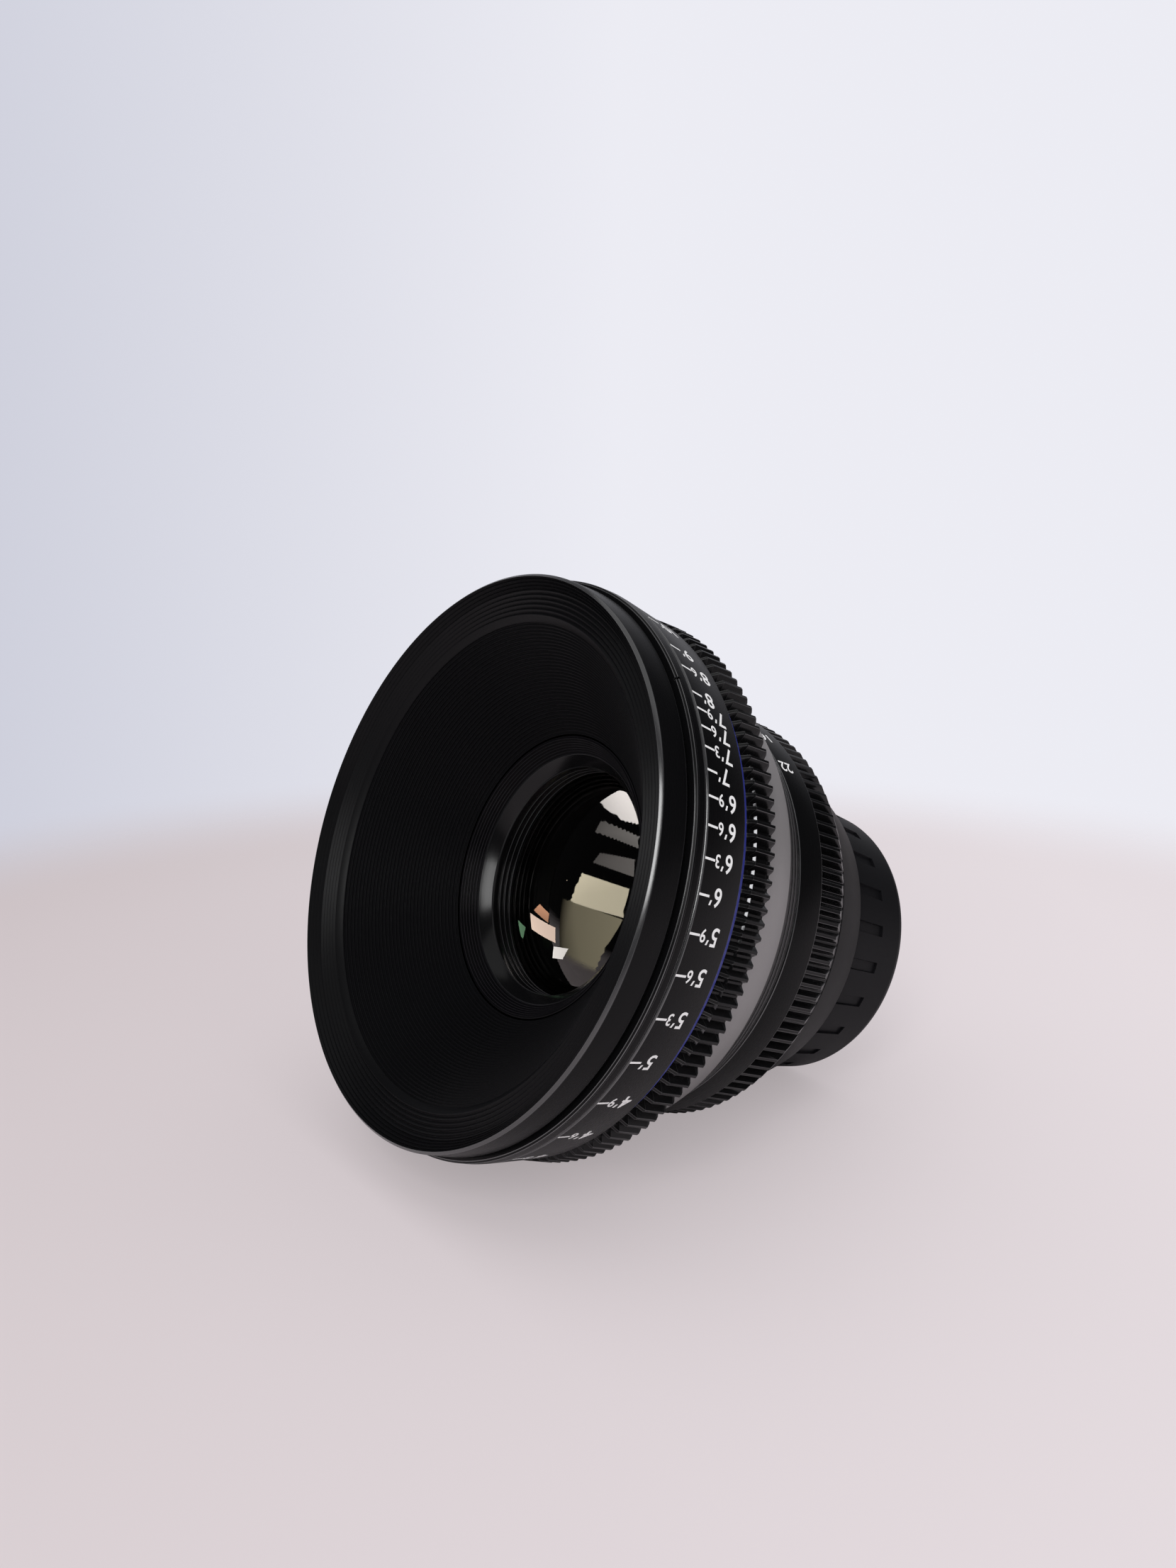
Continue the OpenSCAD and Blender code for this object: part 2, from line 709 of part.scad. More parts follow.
lie_down() front_ring();
lie_down() stop_ring();
lie_down() front_cone();
lie_down() ridged_baffle();
lie_down() main_barrel();
lie_down() focus_ring();
lie_down() focus_gear();
lie_down() accent_ring();
lie_down() index_ring();
lie_down() guard_ring();
lie_down() rear_barrel();
lie_down() barrel_screws();
lie_down() iris_ring();
lie_down() iris_gear();
lie_down() iris_pin();
lie_down() rear_ring();
lie_down() mount_flange();
lie_down() mount_screws();
lie_down() focus_carrier();
lie_down() cam_followers();
lie_down() optics_tube();
lie_down() trim_ring();
lie_down() front_retainer();
lie_down() lens_1();
lie_down() lens_2();
lie_down() lens_3();
lie_down() stop_retainer();
lie_down() iris_plate();
lie_down() rear_cell();
lie_down() lens_4();
lie_down() lens_5();
lie_down() rear_spacer();
lie_down() lens_6();
lie_down() rear_retainer();
lie_down() iris_sleeve();
lie_down() rear_cap();
for (i = [1 : blade_count])
    lie_down() iris_blade(i);
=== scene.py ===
# %% [markdown]
# # A cinema prime lens, dressed piece by piece
# A lens like this is a stack of turned aluminium rings round a block of glass.
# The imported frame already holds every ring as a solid, with its joints. This
# lesson turns the visible rings again as fine, soft-edged meshes, gives each
# one its own finish, and then wraps the focus and iris scales round them.

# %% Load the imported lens
import json
import math

import bmesh
import bpy
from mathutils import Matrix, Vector


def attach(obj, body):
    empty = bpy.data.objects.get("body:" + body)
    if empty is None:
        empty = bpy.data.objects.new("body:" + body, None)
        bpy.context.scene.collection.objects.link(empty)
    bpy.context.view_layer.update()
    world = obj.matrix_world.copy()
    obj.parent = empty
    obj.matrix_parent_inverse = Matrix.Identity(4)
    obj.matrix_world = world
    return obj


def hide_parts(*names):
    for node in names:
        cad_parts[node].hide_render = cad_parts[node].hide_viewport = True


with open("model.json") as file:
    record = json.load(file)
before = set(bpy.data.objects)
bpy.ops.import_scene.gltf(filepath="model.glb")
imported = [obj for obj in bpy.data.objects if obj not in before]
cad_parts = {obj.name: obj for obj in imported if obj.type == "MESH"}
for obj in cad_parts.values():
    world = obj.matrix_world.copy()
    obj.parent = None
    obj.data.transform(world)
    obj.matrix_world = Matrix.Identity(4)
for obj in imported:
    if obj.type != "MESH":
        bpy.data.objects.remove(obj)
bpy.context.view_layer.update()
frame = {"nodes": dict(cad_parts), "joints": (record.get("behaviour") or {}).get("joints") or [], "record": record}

MM = 0.001

# %% [markdown]
# ## One axis for everything
# Every ring shares the optical axis, so a place on the lens is a radius, an
# angle and a depth behind the front rim. The rings could be drawn upright and
# tilted afterwards, but then two frames have to agree. The focus joint already
# runs along the axis and starts at the rim, so its numbers give the lens's own
# axes: angle 0 points to the lens's side and angle 90 points down to the floor.

# %% Axes of the lens
focus_joint = next(j for j in frame["joints"] if j["name"] == "focus_turn")
rim_centre = Vector(focus_joint["pos_m"])
back = -Vector(focus_joint["axis"]).normalized()
side = Vector((1, 0, 0))
down = back.cross(side)


def place(radius, angle, depth):
    """Point in the frame, from millimetres round the axis and degrees."""
    a = math.radians(angle)
    out = side * math.cos(a) + down * math.sin(a)
    return rim_centre + MM * (radius * out + depth * back)


print("front rim at", tuple(round(v, 4) for v in rim_centre))

# %% [markdown]
# ## Sizes
# The solids were drawn from these millimetre sizes, and the fine rings repeat
# them so that each one lies in the place of the solid it stands for. They could
# be measured off the solids, but a named size says what it belongs to. The
# rings follow one another along the axis, so each depth adds to the one before.

# %% Depths behind the front rim
RING_GAP = 0.5
FRONT_LEN, STOP_LEN = 7.2, 2.3
SCALE_LEN, FOCUS_GEAR_LEN = 11.7, 7.9
INDEX_LEN, GUARD_LEN = 11.9, 6.4
IRIS_SCALE_LEN, IRIS_GEAR_LEN = 6.7, 9.0
REAR_LEN, CAP_LEN = 15.0, 20.7
z_stop = FRONT_LEN
z_scale = z_stop + STOP_LEN + RING_GAP
z_focus_gear = z_scale + SCALE_LEN
z_focus_end = z_focus_gear + FOCUS_GEAR_LEN
z_index = z_focus_end + RING_GAP
z_guard = z_index + INDEX_LEN
z_iris = z_guard + GUARD_LEN + RING_GAP
z_iris_gear = z_iris + IRIS_SCALE_LEN
z_iris_end = z_iris_gear + IRIS_GEAR_LEN
z_rear = z_iris_end + RING_GAP
z_flange = z_rear + REAR_LEN
z_cap = z_flange + RING_GAP
z_end = z_cap + CAP_LEN
print("front to flange:", round(z_flange, 2), "mm; overall:", round(z_end, 2), "mm")

# %% Radii
FRONT_R = 57.0
GEAR_M = 0.8
FOCUS_TEETH, IRIS_TEETH = 139, 108
TIP, ROOT = 1.0, 1.25
SLIDE_FIT = 0.06
focus_tip_r = GEAR_M * (FOCUS_TEETH / 2 + TIP)
focus_root_r = GEAR_M * (FOCUS_TEETH / 2 - ROOT)
focus_seat_r = focus_root_r - 1.6
focus_bore_r = focus_seat_r - 1.9
barrel_r = focus_bore_r - SLIDE_FIT
iris_tip_r = GEAR_M * (IRIS_TEETH / 2 + TIP)
iris_root_r = GEAR_M * (IRIS_TEETH / 2 - ROOT)
iris_bore_r = iris_root_r - 2.2
iris_scale_r = iris_tip_r + 0.4
rear_tube_r = iris_bore_r - SLIDE_FIT
stop_r = FRONT_R + 1.0
scale_front_r = FRONT_R + 0.9
scale_rear_r = focus_tip_r - 0.1
print("gear tips at", round(focus_tip_r, 2), "mm and", round(iris_tip_r, 2), "mm")

# %% [markdown]
# ## Finishes
# Almost everything here is bead-blasted aluminium, anodised black. Up close it
# shows a fine grain, faint lathe lines that run round the ring, and proud
# corners that hands have scuffed a little paler; that paler colour also stands
# for the bright line of light along each edge, as a painted highlight. Painted
# textures could show this, but every ring would need its own. One recipe of
# noise nodes makes all of it, with the colour, the sheen and the strength of
# each effect as inputs.

# %% Node helpers
def new_material(name):
    mat = bpy.data.materials.new(name)
    mat.use_nodes = True
    tree = mat.node_tree
    return mat, tree, tree.nodes["Principled BSDF"]


def make_node(tree, kind, **inputs):
    """A node with its input sockets set by name."""
    node = tree.nodes.new(kind)
    for key, value in inputs.items():
        node.inputs[key.replace("_", " ")].default_value = value
    return node


def maths(tree, kind, operation, *values):
    """A Math or Vector Math node on sockets, numbers and directions."""
    node = tree.nodes.new(kind)
    node.operation = operation
    for socket, value in zip(node.inputs, values):
        if isinstance(value, bpy.types.NodeSocket):
            tree.links.new(value, socket)
        else:
            socket.default_value = value
    return node.outputs["Value"]


print("helpers:", new_material.__name__, make_node.__name__, maths.__name__)

# %% Mixing helpers
def ramp(tree, value, low, high):
    """Maps a 0 to 1 value to the range from low to high."""
    node = make_node(tree, "ShaderNodeMapRange", To_Min=low, To_Max=high)
    tree.links.new(value, node.inputs["Value"])
    return node.outputs["Result"]


def blend(tree, factor, first, second):
    """Mixes a colour, or a colour socket, with a second colour by a factor socket."""
    node = tree.nodes.new("ShaderNodeMix")
    node.data_type = "RGBA"
    if isinstance(first, bpy.types.NodeSocket):
        tree.links.new(first, node.inputs["A"])
    else:
        node.inputs["A"].default_value = (*first, 1)
    node.inputs["B"].default_value = (*second, 1)
    tree.links.new(factor, node.inputs["Factor"])
    return node.outputs["Result"]


def mix_shaders(tree, factor, first, second):
    """First shader where the factor is 0, second where it is 1."""
    node = tree.nodes.new("ShaderNodeMixShader")
    tree.links.new(factor, node.inputs["Fac"])
    tree.links.new(first, node.inputs[1])
    tree.links.new(second, node.inputs[2])
    return node.outputs["Shader"]


print("mixing helpers:", ramp.__name__, blend.__name__, mix_shaders.__name__)

# %% [markdown]
# ### The recipe
# Grain and smudges are noise in the object's own space. The lathe lines are
# noise on a map that runs round the ring, stretched until it turns into rings.
# Blender can find edges by itself, but on thin swept faces that comes out as
# streaks, so each ring brings its own values for how pale its corners are
# painted, which stand for scuffs and also paint a highlight on each edge.

# %% Finish recipe
SMUDGE_SCALE = 55.0
LINE_STRETCH = (0.02, 5.0, 1.0)
PATCHINESS = 1.2
SHEEN_SPREAD, LINE_SHEEN = 0.06, 0.2
GRAIN_DEPTH, LINE_DEPTH = 0.02 * MM, 0.01 * MM


def finish(name, colour, worn_and_highlight, roughness, metallic=0.0, grain=0.3, lines=0.25,
           grain_size=0.12, specular=0.5):
    """Grain, lathe lines, smudges and paler proud corners, for scuffs and as a painted edge highlight, over one
    base colour.
    """
    mat, tree, shader = new_material(name)
    link = tree.links.new
    coords = tree.nodes.new("ShaderNodeTexCoord")
    speckle = make_node(tree, "ShaderNodeTexNoise", Scale=1 / (grain_size * MM), Detail=3.0)
    link(coords.outputs["Object"], speckle.inputs["Vector"])
    smudge = make_node(tree, "ShaderNodeTexNoise", Scale=SMUDGE_SCALE, Detail=4.0, Roughness=0.6)
    link(coords.outputs["Object"], smudge.inputs["Vector"])
    stretch = make_node(tree, "ShaderNodeMapping", Scale=LINE_STRETCH)
    link(coords.outputs["UV"], stretch.inputs["Vector"])
    turning = make_node(tree, "ShaderNodeTexNoise", Scale=1.0, Detail=2.0)
    link(stretch.outputs["Vector"], turning.inputs["Vector"])

    # Proud corners turn paler in patches, partly scuffs and partly a painted highlight along the edges.
    rubbed_and_highlight = tree.nodes.new("ShaderNodeAttribute")
    rubbed_and_highlight.attribute_name = "wear_and_highlight"
    patches = ramp(tree, smudge.outputs["Fac"], 0.0, PATCHINESS)
    patchy_wear_and_highlight = maths(tree, "ShaderNodeMath", "MULTIPLY", rubbed_and_highlight.outputs["Fac"], patches)
    paler = tuple(min(1.0, c * 1.25 + 0.002) for c in colour)
    grained = blend(tree, speckle.outputs["Fac"], colour, paler)
    link(blend(tree, patchy_wear_and_highlight, grained, worn_and_highlight), shader.inputs["Base Color"])

    smudged = ramp(tree, smudge.outputs["Fac"], roughness - SHEEN_SPREAD, roughness + SHEEN_SPREAD)
    turned = ramp(tree, turning.outputs["Fac"], -LINE_SHEEN * lines, LINE_SHEEN * lines)
    link(maths(tree, "ShaderNodeMath", "ADD", smudged, turned), shader.inputs["Roughness"])

    bump = make_node(tree, "ShaderNodeBump", Strength=grain, Distance=GRAIN_DEPTH)
    link(speckle.outputs["Fac"], bump.inputs["Height"])
    lathe_bump = make_node(tree, "ShaderNodeBump", Strength=lines, Distance=LINE_DEPTH)
    link(turning.outputs["Fac"], lathe_bump.inputs["Height"])
    link(bump.outputs["Normal"], lathe_bump.inputs["Normal"])
    link(lathe_bump.outputs["Normal"], shader.inputs["Normal"])
    shader.inputs["Metallic"].default_value = metallic
    shader.inputs["Specular IOR Level"].default_value = specular
    return mat


print("bump depths:", GRAIN_DEPTH / MM, "mm of grain,", LINE_DEPTH / MM, "mm of lines")

# %% [markdown]
# ### The finishes of this lens
# The blacks differ mostly in how much light they throw back. The funnel is the
# dullest, the clamp ring and the gears shine, and the edges that a cutter has
# passed last are brighter still, in a paler colour that is partly a painted
# highlight. The two colours are the base and the paler one for proud corners,
# which stands for scuffs and for a painted edge highlight, and the number after
# them is the roughness.

# %% Black finishes
black = finish("black_anodised", (0.0022, 0.0022, 0.0025), (0.05, 0.05, 0.052), 0.28,
               specular=0.11)
deep_black = finish("funnel_black", (0.0022, 0.0022, 0.0027), (0.008, 0.008, 0.009), 0.40,
                    specular=0.14)
rear_black = finish("rear_black", (0.0022, 0.0022, 0.0025), (0.05, 0.05, 0.052), 0.36,
                    specular=0.03)
trim_grey = finish("trim_violet_grey", (0.0018, 0.0017, 0.0022), (0.02, 0.018, 0.021), 0.24,
                   specular=0.16)
gloss_black = finish("gloss_black", (0.002, 0.002, 0.0023), (0.04, 0.04, 0.042), 0.18,
                     grain=0.1, specular=0.27)
gear_black = finish("gear_black", (0.003, 0.003, 0.0033), (0.05, 0.05, 0.052), 0.22,
                    grain=0.12, specular=0.25)
# The cut edges are paler as well as shinier, partly as a painted highlight.
edge_black = finish("polished_edge_and_highlight", (0.02, 0.02, 0.021), (0.12, 0.12, 0.122), 0.2,
                    grain=0.1, lines=0.1, specular=1.0)
blade_black = finish("blade_black", (0.006, 0.006, 0.0065), (0.03, 0.03, 0.03), 0.4,
                     metallic=0.3)
cap_plastic = finish("cap_plastic", (0.005, 0.005, 0.006), (0.03, 0.03, 0.032), 0.44,
                     grain=0.6, lines=0.0, grain_size=0.25, specular=0.08)
print("black finishes:", len(bpy.data.materials))

# %% Metals and paints
root_metal = finish("polished_root", (0.08, 0.08, 0.083), (0.15, 0.15, 0.15), 0.12,
                    metallic=1.0, grain=0.1)
grey = finish("grey_anodised", (0.21, 0.205, 0.203), (0.40, 0.40, 0.40), 0.38,
              metallic=0.5, grain=0.35)
inside_metal = finish("inside_aluminium", (0.02, 0.02, 0.021), (0.1, 0.1, 0.1), 0.4,
                      metallic=0.6)
steel = finish("stainless_steel", (0.50, 0.50, 0.52), (0.7, 0.7, 0.7), 0.28, metallic=1.0)
blue = finish("blue_enamel", (0.018, 0.026, 0.22), (0.03, 0.05, 0.3), 0.35)
paint = finish("scale_paint", (0.78, 0.78, 0.77), (0.85, 0.85, 0.85), 0.55,
               grain=0.4, lines=0.0)
print("all finishes:", len(bpy.data.materials))

# %% [markdown]
# ## Coated glass
# The front element is clear glass under a thin coating, which throws back some
# of the room and lets the dark barrel behind show through. Real refraction
# through six elements would be slow and noisy to render. A see-through surface
# with a tinted gloss over it, stronger towards the edge, looks the same from
# outside, and what shows through it is dimmed as painted shade for the dark
# inside of the lens.

# %% Glass
# What shows through the glass is dimmed to about a third and tinted faintly olive: painted shade for the dark
# inside of the lens.
GLASS_TINT_AND_SHADE = (0.30, 0.31, 0.27, 1)
GLASS_IOR = 1.5
PALE_SHARE = 0.2


def coated_glass(name, tint, strength):
    """See-through glass, dimmed as painted shade, with a coloured reflection that grows towards the edge."""
    mat, tree, shader = new_material(name)
    link = tree.links.new
    tree.nodes.remove(shader)
    clear = make_node(tree, "ShaderNodeBsdfTransparent", Color=GLASS_TINT_AND_SHADE)
    coords = tree.nodes.new("ShaderNodeTexCoord")
    film = make_node(tree, "ShaderNodeTexNoise", Scale=30.0, Detail=2.0)
    link(coords.outputs["Object"], film.inputs["Vector"])
    gloss = make_node(tree, "ShaderNodeBsdfGlossy", Roughness=0.02)
    paler = tuple((1 - PALE_SHARE) * c + PALE_SHARE for c in tint)
    link(blend(tree, film.outputs["Fac"], tint, paler), gloss.inputs["Color"])
    fresnel = make_node(tree, "ShaderNodeFresnel", IOR=GLASS_IOR)
    layer = maths(tree, "ShaderNodeMath", "MULTIPLY", fresnel.outputs["Fac"], strength)
    coated = mix_shaders(tree, layer, clear.outputs["BSDF"], gloss.outputs["BSDF"])
    link(coated, tree.nodes["Material Output"].inputs["Surface"])
    return mat


front_glass = coated_glass("front_coating", (1.0, 0.97, 0.93), 1.6)
back_glass = coated_glass("back_coating", (0.6, 0.65, 0.5), 0.03)
inner_glass = coated_glass("inner_coating", (0.55, 0.70, 0.35), 0.3)
print("glass:", front_glass.name, back_glass.name, inner_glass.name)

# %% [markdown]
# ## Turning a ring
# A turned ring is an outline in radius and depth, swept once round the axis.
# Blender's Screw modifier could sweep it, but a sweep in code can also change
# the radius on the way round, which notches, grooves and teeth need. A real
# lathe leaves no perfectly sharp corner, so every corner of the outline is
# rounded off first. That narrow round catches the thin bright line on an edge.

# %% Soft corners
CORNER_STEPS = 3
CORNER_REACH = 0.4


def soften(outline, size):
    """Rounds each corner of a closed outline by a small arc."""
    points = []
    for i, corner in enumerate(outline):
        here = Vector(corner)
        before = Vector(outline[i - 1]) - here
        after = Vector(outline[(i + 1) % len(outline)]) - here
        reach = min(size, CORNER_REACH * before.length, CORNER_REACH * after.length)
        start = here + reach * before.normalized()
        stop = here + reach * after.normalized()
        for k in range(CORNER_STEPS + 1):
            t = k / CORNER_STEPS
            points.append((1 - t) ** 2 * start + 2 * t * (1 - t) * here + t * t * stop)
    return points


def corner_wear(outline):
    """How proud each corner of a closed outline stands, from 0 on a flat or in a hollow to 1; proud corners are
    painted paler, for scuffs and as an edge highlight.
    """
    corners = [Vector(c) for c in outline]
    after = [corners[(i + 1) % len(corners)] - c for i, c in enumerate(corners)]
    turns = [math.sin(after[i].angle_signed(after[i - 1])) for i in range(len(corners))]
    area = sum(c.x * a.y - c.y * a.x for c, a in zip(corners, after))
    return [max(0.0, math.copysign(turn, turn * area)) for turn in turns]


print("points on a soft corner:", CORNER_STEPS + 1)

# %% [markdown]
# ### From outline to mesh
# A mesh is a list of points and a list of faces. The sweep makes one row of
# points for each angle and joins neighbouring rows by four-sided faces. It also
# unrolls the ring into a map in millimetres, because the lathe lines of the
# finish need to know which way is round.

# %% New meshes
SHARP_DEG = 38


def new_piece(name, points, faces, material):
    mesh = bpy.data.meshes.new(name)
    mesh.from_pydata(points, [], faces)
    piece = bpy.data.objects.new(name, mesh)
    bpy.context.scene.collection.objects.link(piece)
    mesh.materials.append(material)
    return piece


def close_mesh(piece):
    """Outward faces, smooth shading, and crisp edges where faces meet sharply."""
    work = bmesh.new()
    work.from_mesh(piece.data)
    bmesh.ops.recalc_face_normals(work, faces=work.faces)
    work.to_mesh(piece.data)
    work.free()
    piece.data.polygons.foreach_set("use_smooth", [True] * len(piece.data.polygons))
    piece.data.set_sharp_from_angle(angle=math.radians(SHARP_DEG))


def sweep_faces(rows, count):
    """Quads between neighbouring rows of a sweep that closes both ways."""
    faces = []
    for k in range(rows):
        for i in range(count):
            j = (i + 1) % count
            m = (k + 1) % rows
            faces.append((k * count + i, m * count + i, m * count + j, k * count + j))
    return faces


def unroll(piece, profile, turns):
    """Map of a sweep in millimetres: round the ring, then along the outline."""
    count = len(profile)
    lengths = [0.0]
    for i in range(count):
        lengths.append(lengths[-1] + (profile[(i + 1) % count] - profile[i]).length)
    mean_r = sum(p[0] for p in profile) / count
    around = [mean_r * math.radians(angle) for angle in turns + [turns[0] + 360]]
    uv = []
    for u0, u1 in zip(around, around[1:]):
        for v0, v1 in zip(lengths, lengths[1:]):
            uv += [u0, v0, u1, v0, u1, v1, u0, v1]
    piece.data.uv_layers.new(name="lathe").data.foreach_set("uv", uv)


print("edges stay crisp above", SHARP_DEG, "degrees")

# %% [markdown]
# ### The lathe
# One call makes a finished piece: it rounds the outline, sweeps it, notes how
# pale each corner is painted, for scuffs and as an edge highlight, hides the
# solid it stands for and hangs it on its body. Separate calls would be easy to forget for one ring.

# %% Lathe
TURN_STEPS = 288
EVEN_TURNS = [360 * k / TURN_STEPS for k in range(TURN_STEPS)]


def as_drawn(r, z, angle):
    return r


def lathe(name, outline, node, material, body, corner=0.12, angles=EVEN_TURNS,
          shape=as_drawn, edge=None, chamfers=()):
    """Ring piece that stands for a CAD node, with shape(r, z, angle) to alter a radius.

    Rounded corners and the chamfers, counted by their first corner, take the edge finish.
    """
    profile = soften(outline, corner)
    rows, count = len(angles), len(profile)
    points = [place(shape(r, z, angle), angle, z) for angle in angles for r, z in profile]
    piece = new_piece(name, points, sweep_faces(rows, count), material)
    corner_points = CORNER_STEPS + 1
    # Proud corners take the paler colour, for scuffs and as a painted edge highlight.
    worn_and_highlight = []
    for wear_and_highlight in corner_wear(outline):
        worn_and_highlight += [0.0] + [wear_and_highlight] * (corner_points - 2) + [0.0]
    piece.data.attributes.new("wear_and_highlight", "FLOAT", "POINT").data.foreach_set("value", worn_and_highlight * rows)
    if edge:
        piece.data.materials.append(edge)
        polished = [int(i % corner_points < CORNER_STEPS or i // corner_points in chamfers)
                    for i in range(count)]
        piece.data.polygons.foreach_set("material_index", polished * rows)
    unroll(piece, profile, angles)
    close_mesh(piece)
    if node:
        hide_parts(node)
    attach(piece, body)
    return piece


print("lathe steps:", TURN_STEPS)

# %% [markdown]
# ## Front ring
# The front ring is the plain band that a matte box clamps to. Inside its rim, a
# ridged bevel and a ridged lip lead into the funnel. The ridges could be bump
# in the finish, but they show against the light at the rim, so they are part
# of the outline. The lip takes the dull finish and the front edge a bright one.

# %% Front ring
MOUTH_R, MOUTH_Z = 49.4, 2.8
EYE_R, EYE_Z = 29.6, 21.5
LIP_Z = 4.0
EDGE, REAR_EDGE, REAR_STEP = 0.6, 1.2, 0.8
LIP_R, LIP_RIM_Z = FRONT_R - 2.9, 2.0
LIP_RIDGES, LIP_RIDGE_H = 5, 0.45
RIM_RIDGES, RIM_RIDGE_H = 4, 0.3
EYE_WALL = 2.8
tube_r = barrel_r - 3.5


def funnel_r(z):
    return MOUTH_R - (z - MOUTH_Z) * (MOUTH_R - EYE_R) / (EYE_Z - MOUTH_Z)


def cone_r(z):
    return tube_r + (z - z_stop) * (EYE_R + EYE_WALL - tube_r) / (EYE_Z - z_stop)


def ridges(count, height, from_r, from_z, to_r, to_z):
    """Saw-tooth corners from one point of the rim towards another."""
    corners = []
    pitch = (to_r - from_r) / count
    slope = (from_z - to_z) / count
    for i in range(count):
        corners.append((from_r + i * pitch, from_z - i * slope))
        corners.append((from_r + (i + 0.5) * pitch, from_z - i * slope + height))
    return corners


lip = ridges(LIP_RIDGES, LIP_RIDGE_H, MOUTH_R, MOUTH_Z, LIP_R, LIP_RIM_Z)
rim = ridges(RIM_RIDGES, RIM_RIDGE_H, LIP_R, LIP_RIM_Z, FRONT_R - EDGE, 0.0)
front_ring = lathe(
    "front_ring_turned",
    [(FRONT_R - EDGE, 0), (FRONT_R, EDGE), (FRONT_R, z_stop - REAR_EDGE),
     (FRONT_R - REAR_STEP, z_stop), (tube_r, z_stop), (cone_r(LIP_Z), LIP_Z),
     (funnel_r(LIP_Z), LIP_Z)] + lip + rim,
    "front_ring", black, "barrel")
front_ring.data.materials.append(edge_black)
front_ring.data.materials.append(deep_black)
for face in front_ring.data.polygons:
    middle = (face.center - rim_centre) / MM
    depth = middle.dot(back)
    radius = (middle - depth * back).length
    if radius < FRONT_R - EDGE and depth < LIP_Z:
        face.material_index = 2
    elif depth < EDGE:
        face.material_index = 1
print("front ring faces:", len(front_ring.data.polygons))

# %% [markdown]
# ## Stop ring
# Behind the front ring, a narrow fixed ring carries the notch that the focus
# scale is read against. The notch could be cut by a Boolean, which leaves
# uneven triangles. Four extra sweep angles at its walls keep the mesh in rows.

# %% Stop ring with its notch
STOP_EDGE = 0.4
NOTCH_AT, NOTCH_W, NOTCH_LEN, NOTCH_D = 312.6, 0.5, 0.8, 0.8
WALL_DEG, WALL_MM = 0.02, 0.01
TINY = 1e-6
notch_half = math.degrees(NOTCH_W / 2 / stop_r)
notch_from, notch_to = NOTCH_AT - notch_half, NOTCH_AT + notch_half
notch_angles = [notch_from - WALL_DEG, notch_from, notch_to, notch_to + WALL_DEG]
notch_floor = stop_r - NOTCH_D


def notched(r, z, angle):
    """Lowers the front edge of the stop ring inside its notch."""
    inside = abs(angle - NOTCH_AT) <= notch_half + TINY and z <= z_stop + NOTCH_LEN
    return min(r, notch_floor) if inside else r


stop_ring = lathe(
    "stop_ring_turned",
    [(barrel_r, z_stop), (stop_r - STOP_EDGE, z_stop), (stop_r, z_stop + STOP_EDGE),
     (stop_r, z_stop + NOTCH_LEN - WALL_MM), (stop_r, z_stop + NOTCH_LEN + WALL_MM),
     (stop_r, z_stop + STOP_LEN), (barrel_r, z_stop + STOP_LEN)],
    "stop_ring", black, "barrel", corner=0.1,
    angles=sorted(EVEN_TURNS + notch_angles), shape=notched, edge=edge_black)
print("notch at", NOTCH_AT, "degrees on", stop_ring.name)

# %% [markdown]
# ## Ridged funnel
# The funnel keeps stray light off the glass. Its wall comes down in fine steps,
# so light that enters at a slant meets an edge and dies there. Bump could only
# shade a smooth cone, while real steps also hide each other from low angles.
# The last tread has a little thickness, so that the mesh stays a closed solid.

# %% Funnel and its cone
BAFFLE_STEPS = 33
LINER_T, TREAD_T = 1.2, 0.15
step = (EYE_Z - LIP_Z) / BAFFLE_STEPS
stairs = [(EYE_R, EYE_Z)]
for i in range(BAFFLE_STEPS):
    z = EYE_Z - max(i * step, TREAD_T)
    stairs += [(funnel_r(EYE_Z - i * step), z), (funnel_r(EYE_Z - (i + 1) * step), z)]
baffle = lathe(
    "ridged_funnel",
    [(funnel_r(LIP_Z) + LINER_T, LIP_Z), (EYE_R + LINER_T, EYE_Z)] + stairs
    + [(funnel_r(LIP_Z), LIP_Z)],
    "ridged_baffle", deep_black, "barrel", corner=0.1)
cone = lathe(
    "funnel_cone",
    [(funnel_r(LIP_Z) + LINER_T, LIP_Z), (cone_r(LIP_Z), LIP_Z),
     (cone_r(EYE_Z), EYE_Z), (EYE_R + LINER_T, EYE_Z)],
    "front_cone", deep_black, "barrel", corner=0.05)
print("funnel pieces:", baffle.name, cone.name)

# %% [markdown]
# ## Rings round the front element
# The optical block ends in a ridged trim ring and a smooth ring that clamps the
# front element. Both ride with the optics, because the whole block moves when
# the lens is focused. They are turned like the rest, with the trim ring's steps
# and the clamp ring's fine bore grooves in their outlines.

# %% Trim ring
LENS_1_R = 24.7
TRIM_RIDGES = 6
TRIM_GAP, TRIM_LAND, TRIM_WALL, TRIM_RIM = 0.4, 0.6, 1.6, 1.5
trim_r = EYE_R - TRIM_GAP
trim_in, trim_out = LENS_1_R + TRIM_RIM, trim_r - TRIM_LAND
z_tube = EYE_Z + 1.5
z_trim_end = EYE_Z + 2.8
dz = (z_trim_end - EYE_Z) / TRIM_RIDGES
dr = (trim_out - trim_in) / TRIM_RIDGES
stairs = [(trim_in, z_trim_end)]
for i in range(TRIM_RIDGES):
    z = z_trim_end - max(i * dz, TREAD_T)
    stairs += [(trim_in + i * dr, z), (trim_in + (i + 1) * dr, z)]
trim = lathe(
    "trim_ring_turned",
    [(trim_r, EYE_Z), (trim_r, z_tube), (trim_r - TRIM_WALL, z_tube),
     (trim_r - TRIM_WALL, z_trim_end)] + stairs + [(trim_out, EYE_Z)],
    "trim_ring", trim_grey, "optics")
print(trim.name, "from", round(trim_in, 2), "to", round(trim_r, 2), "mm")

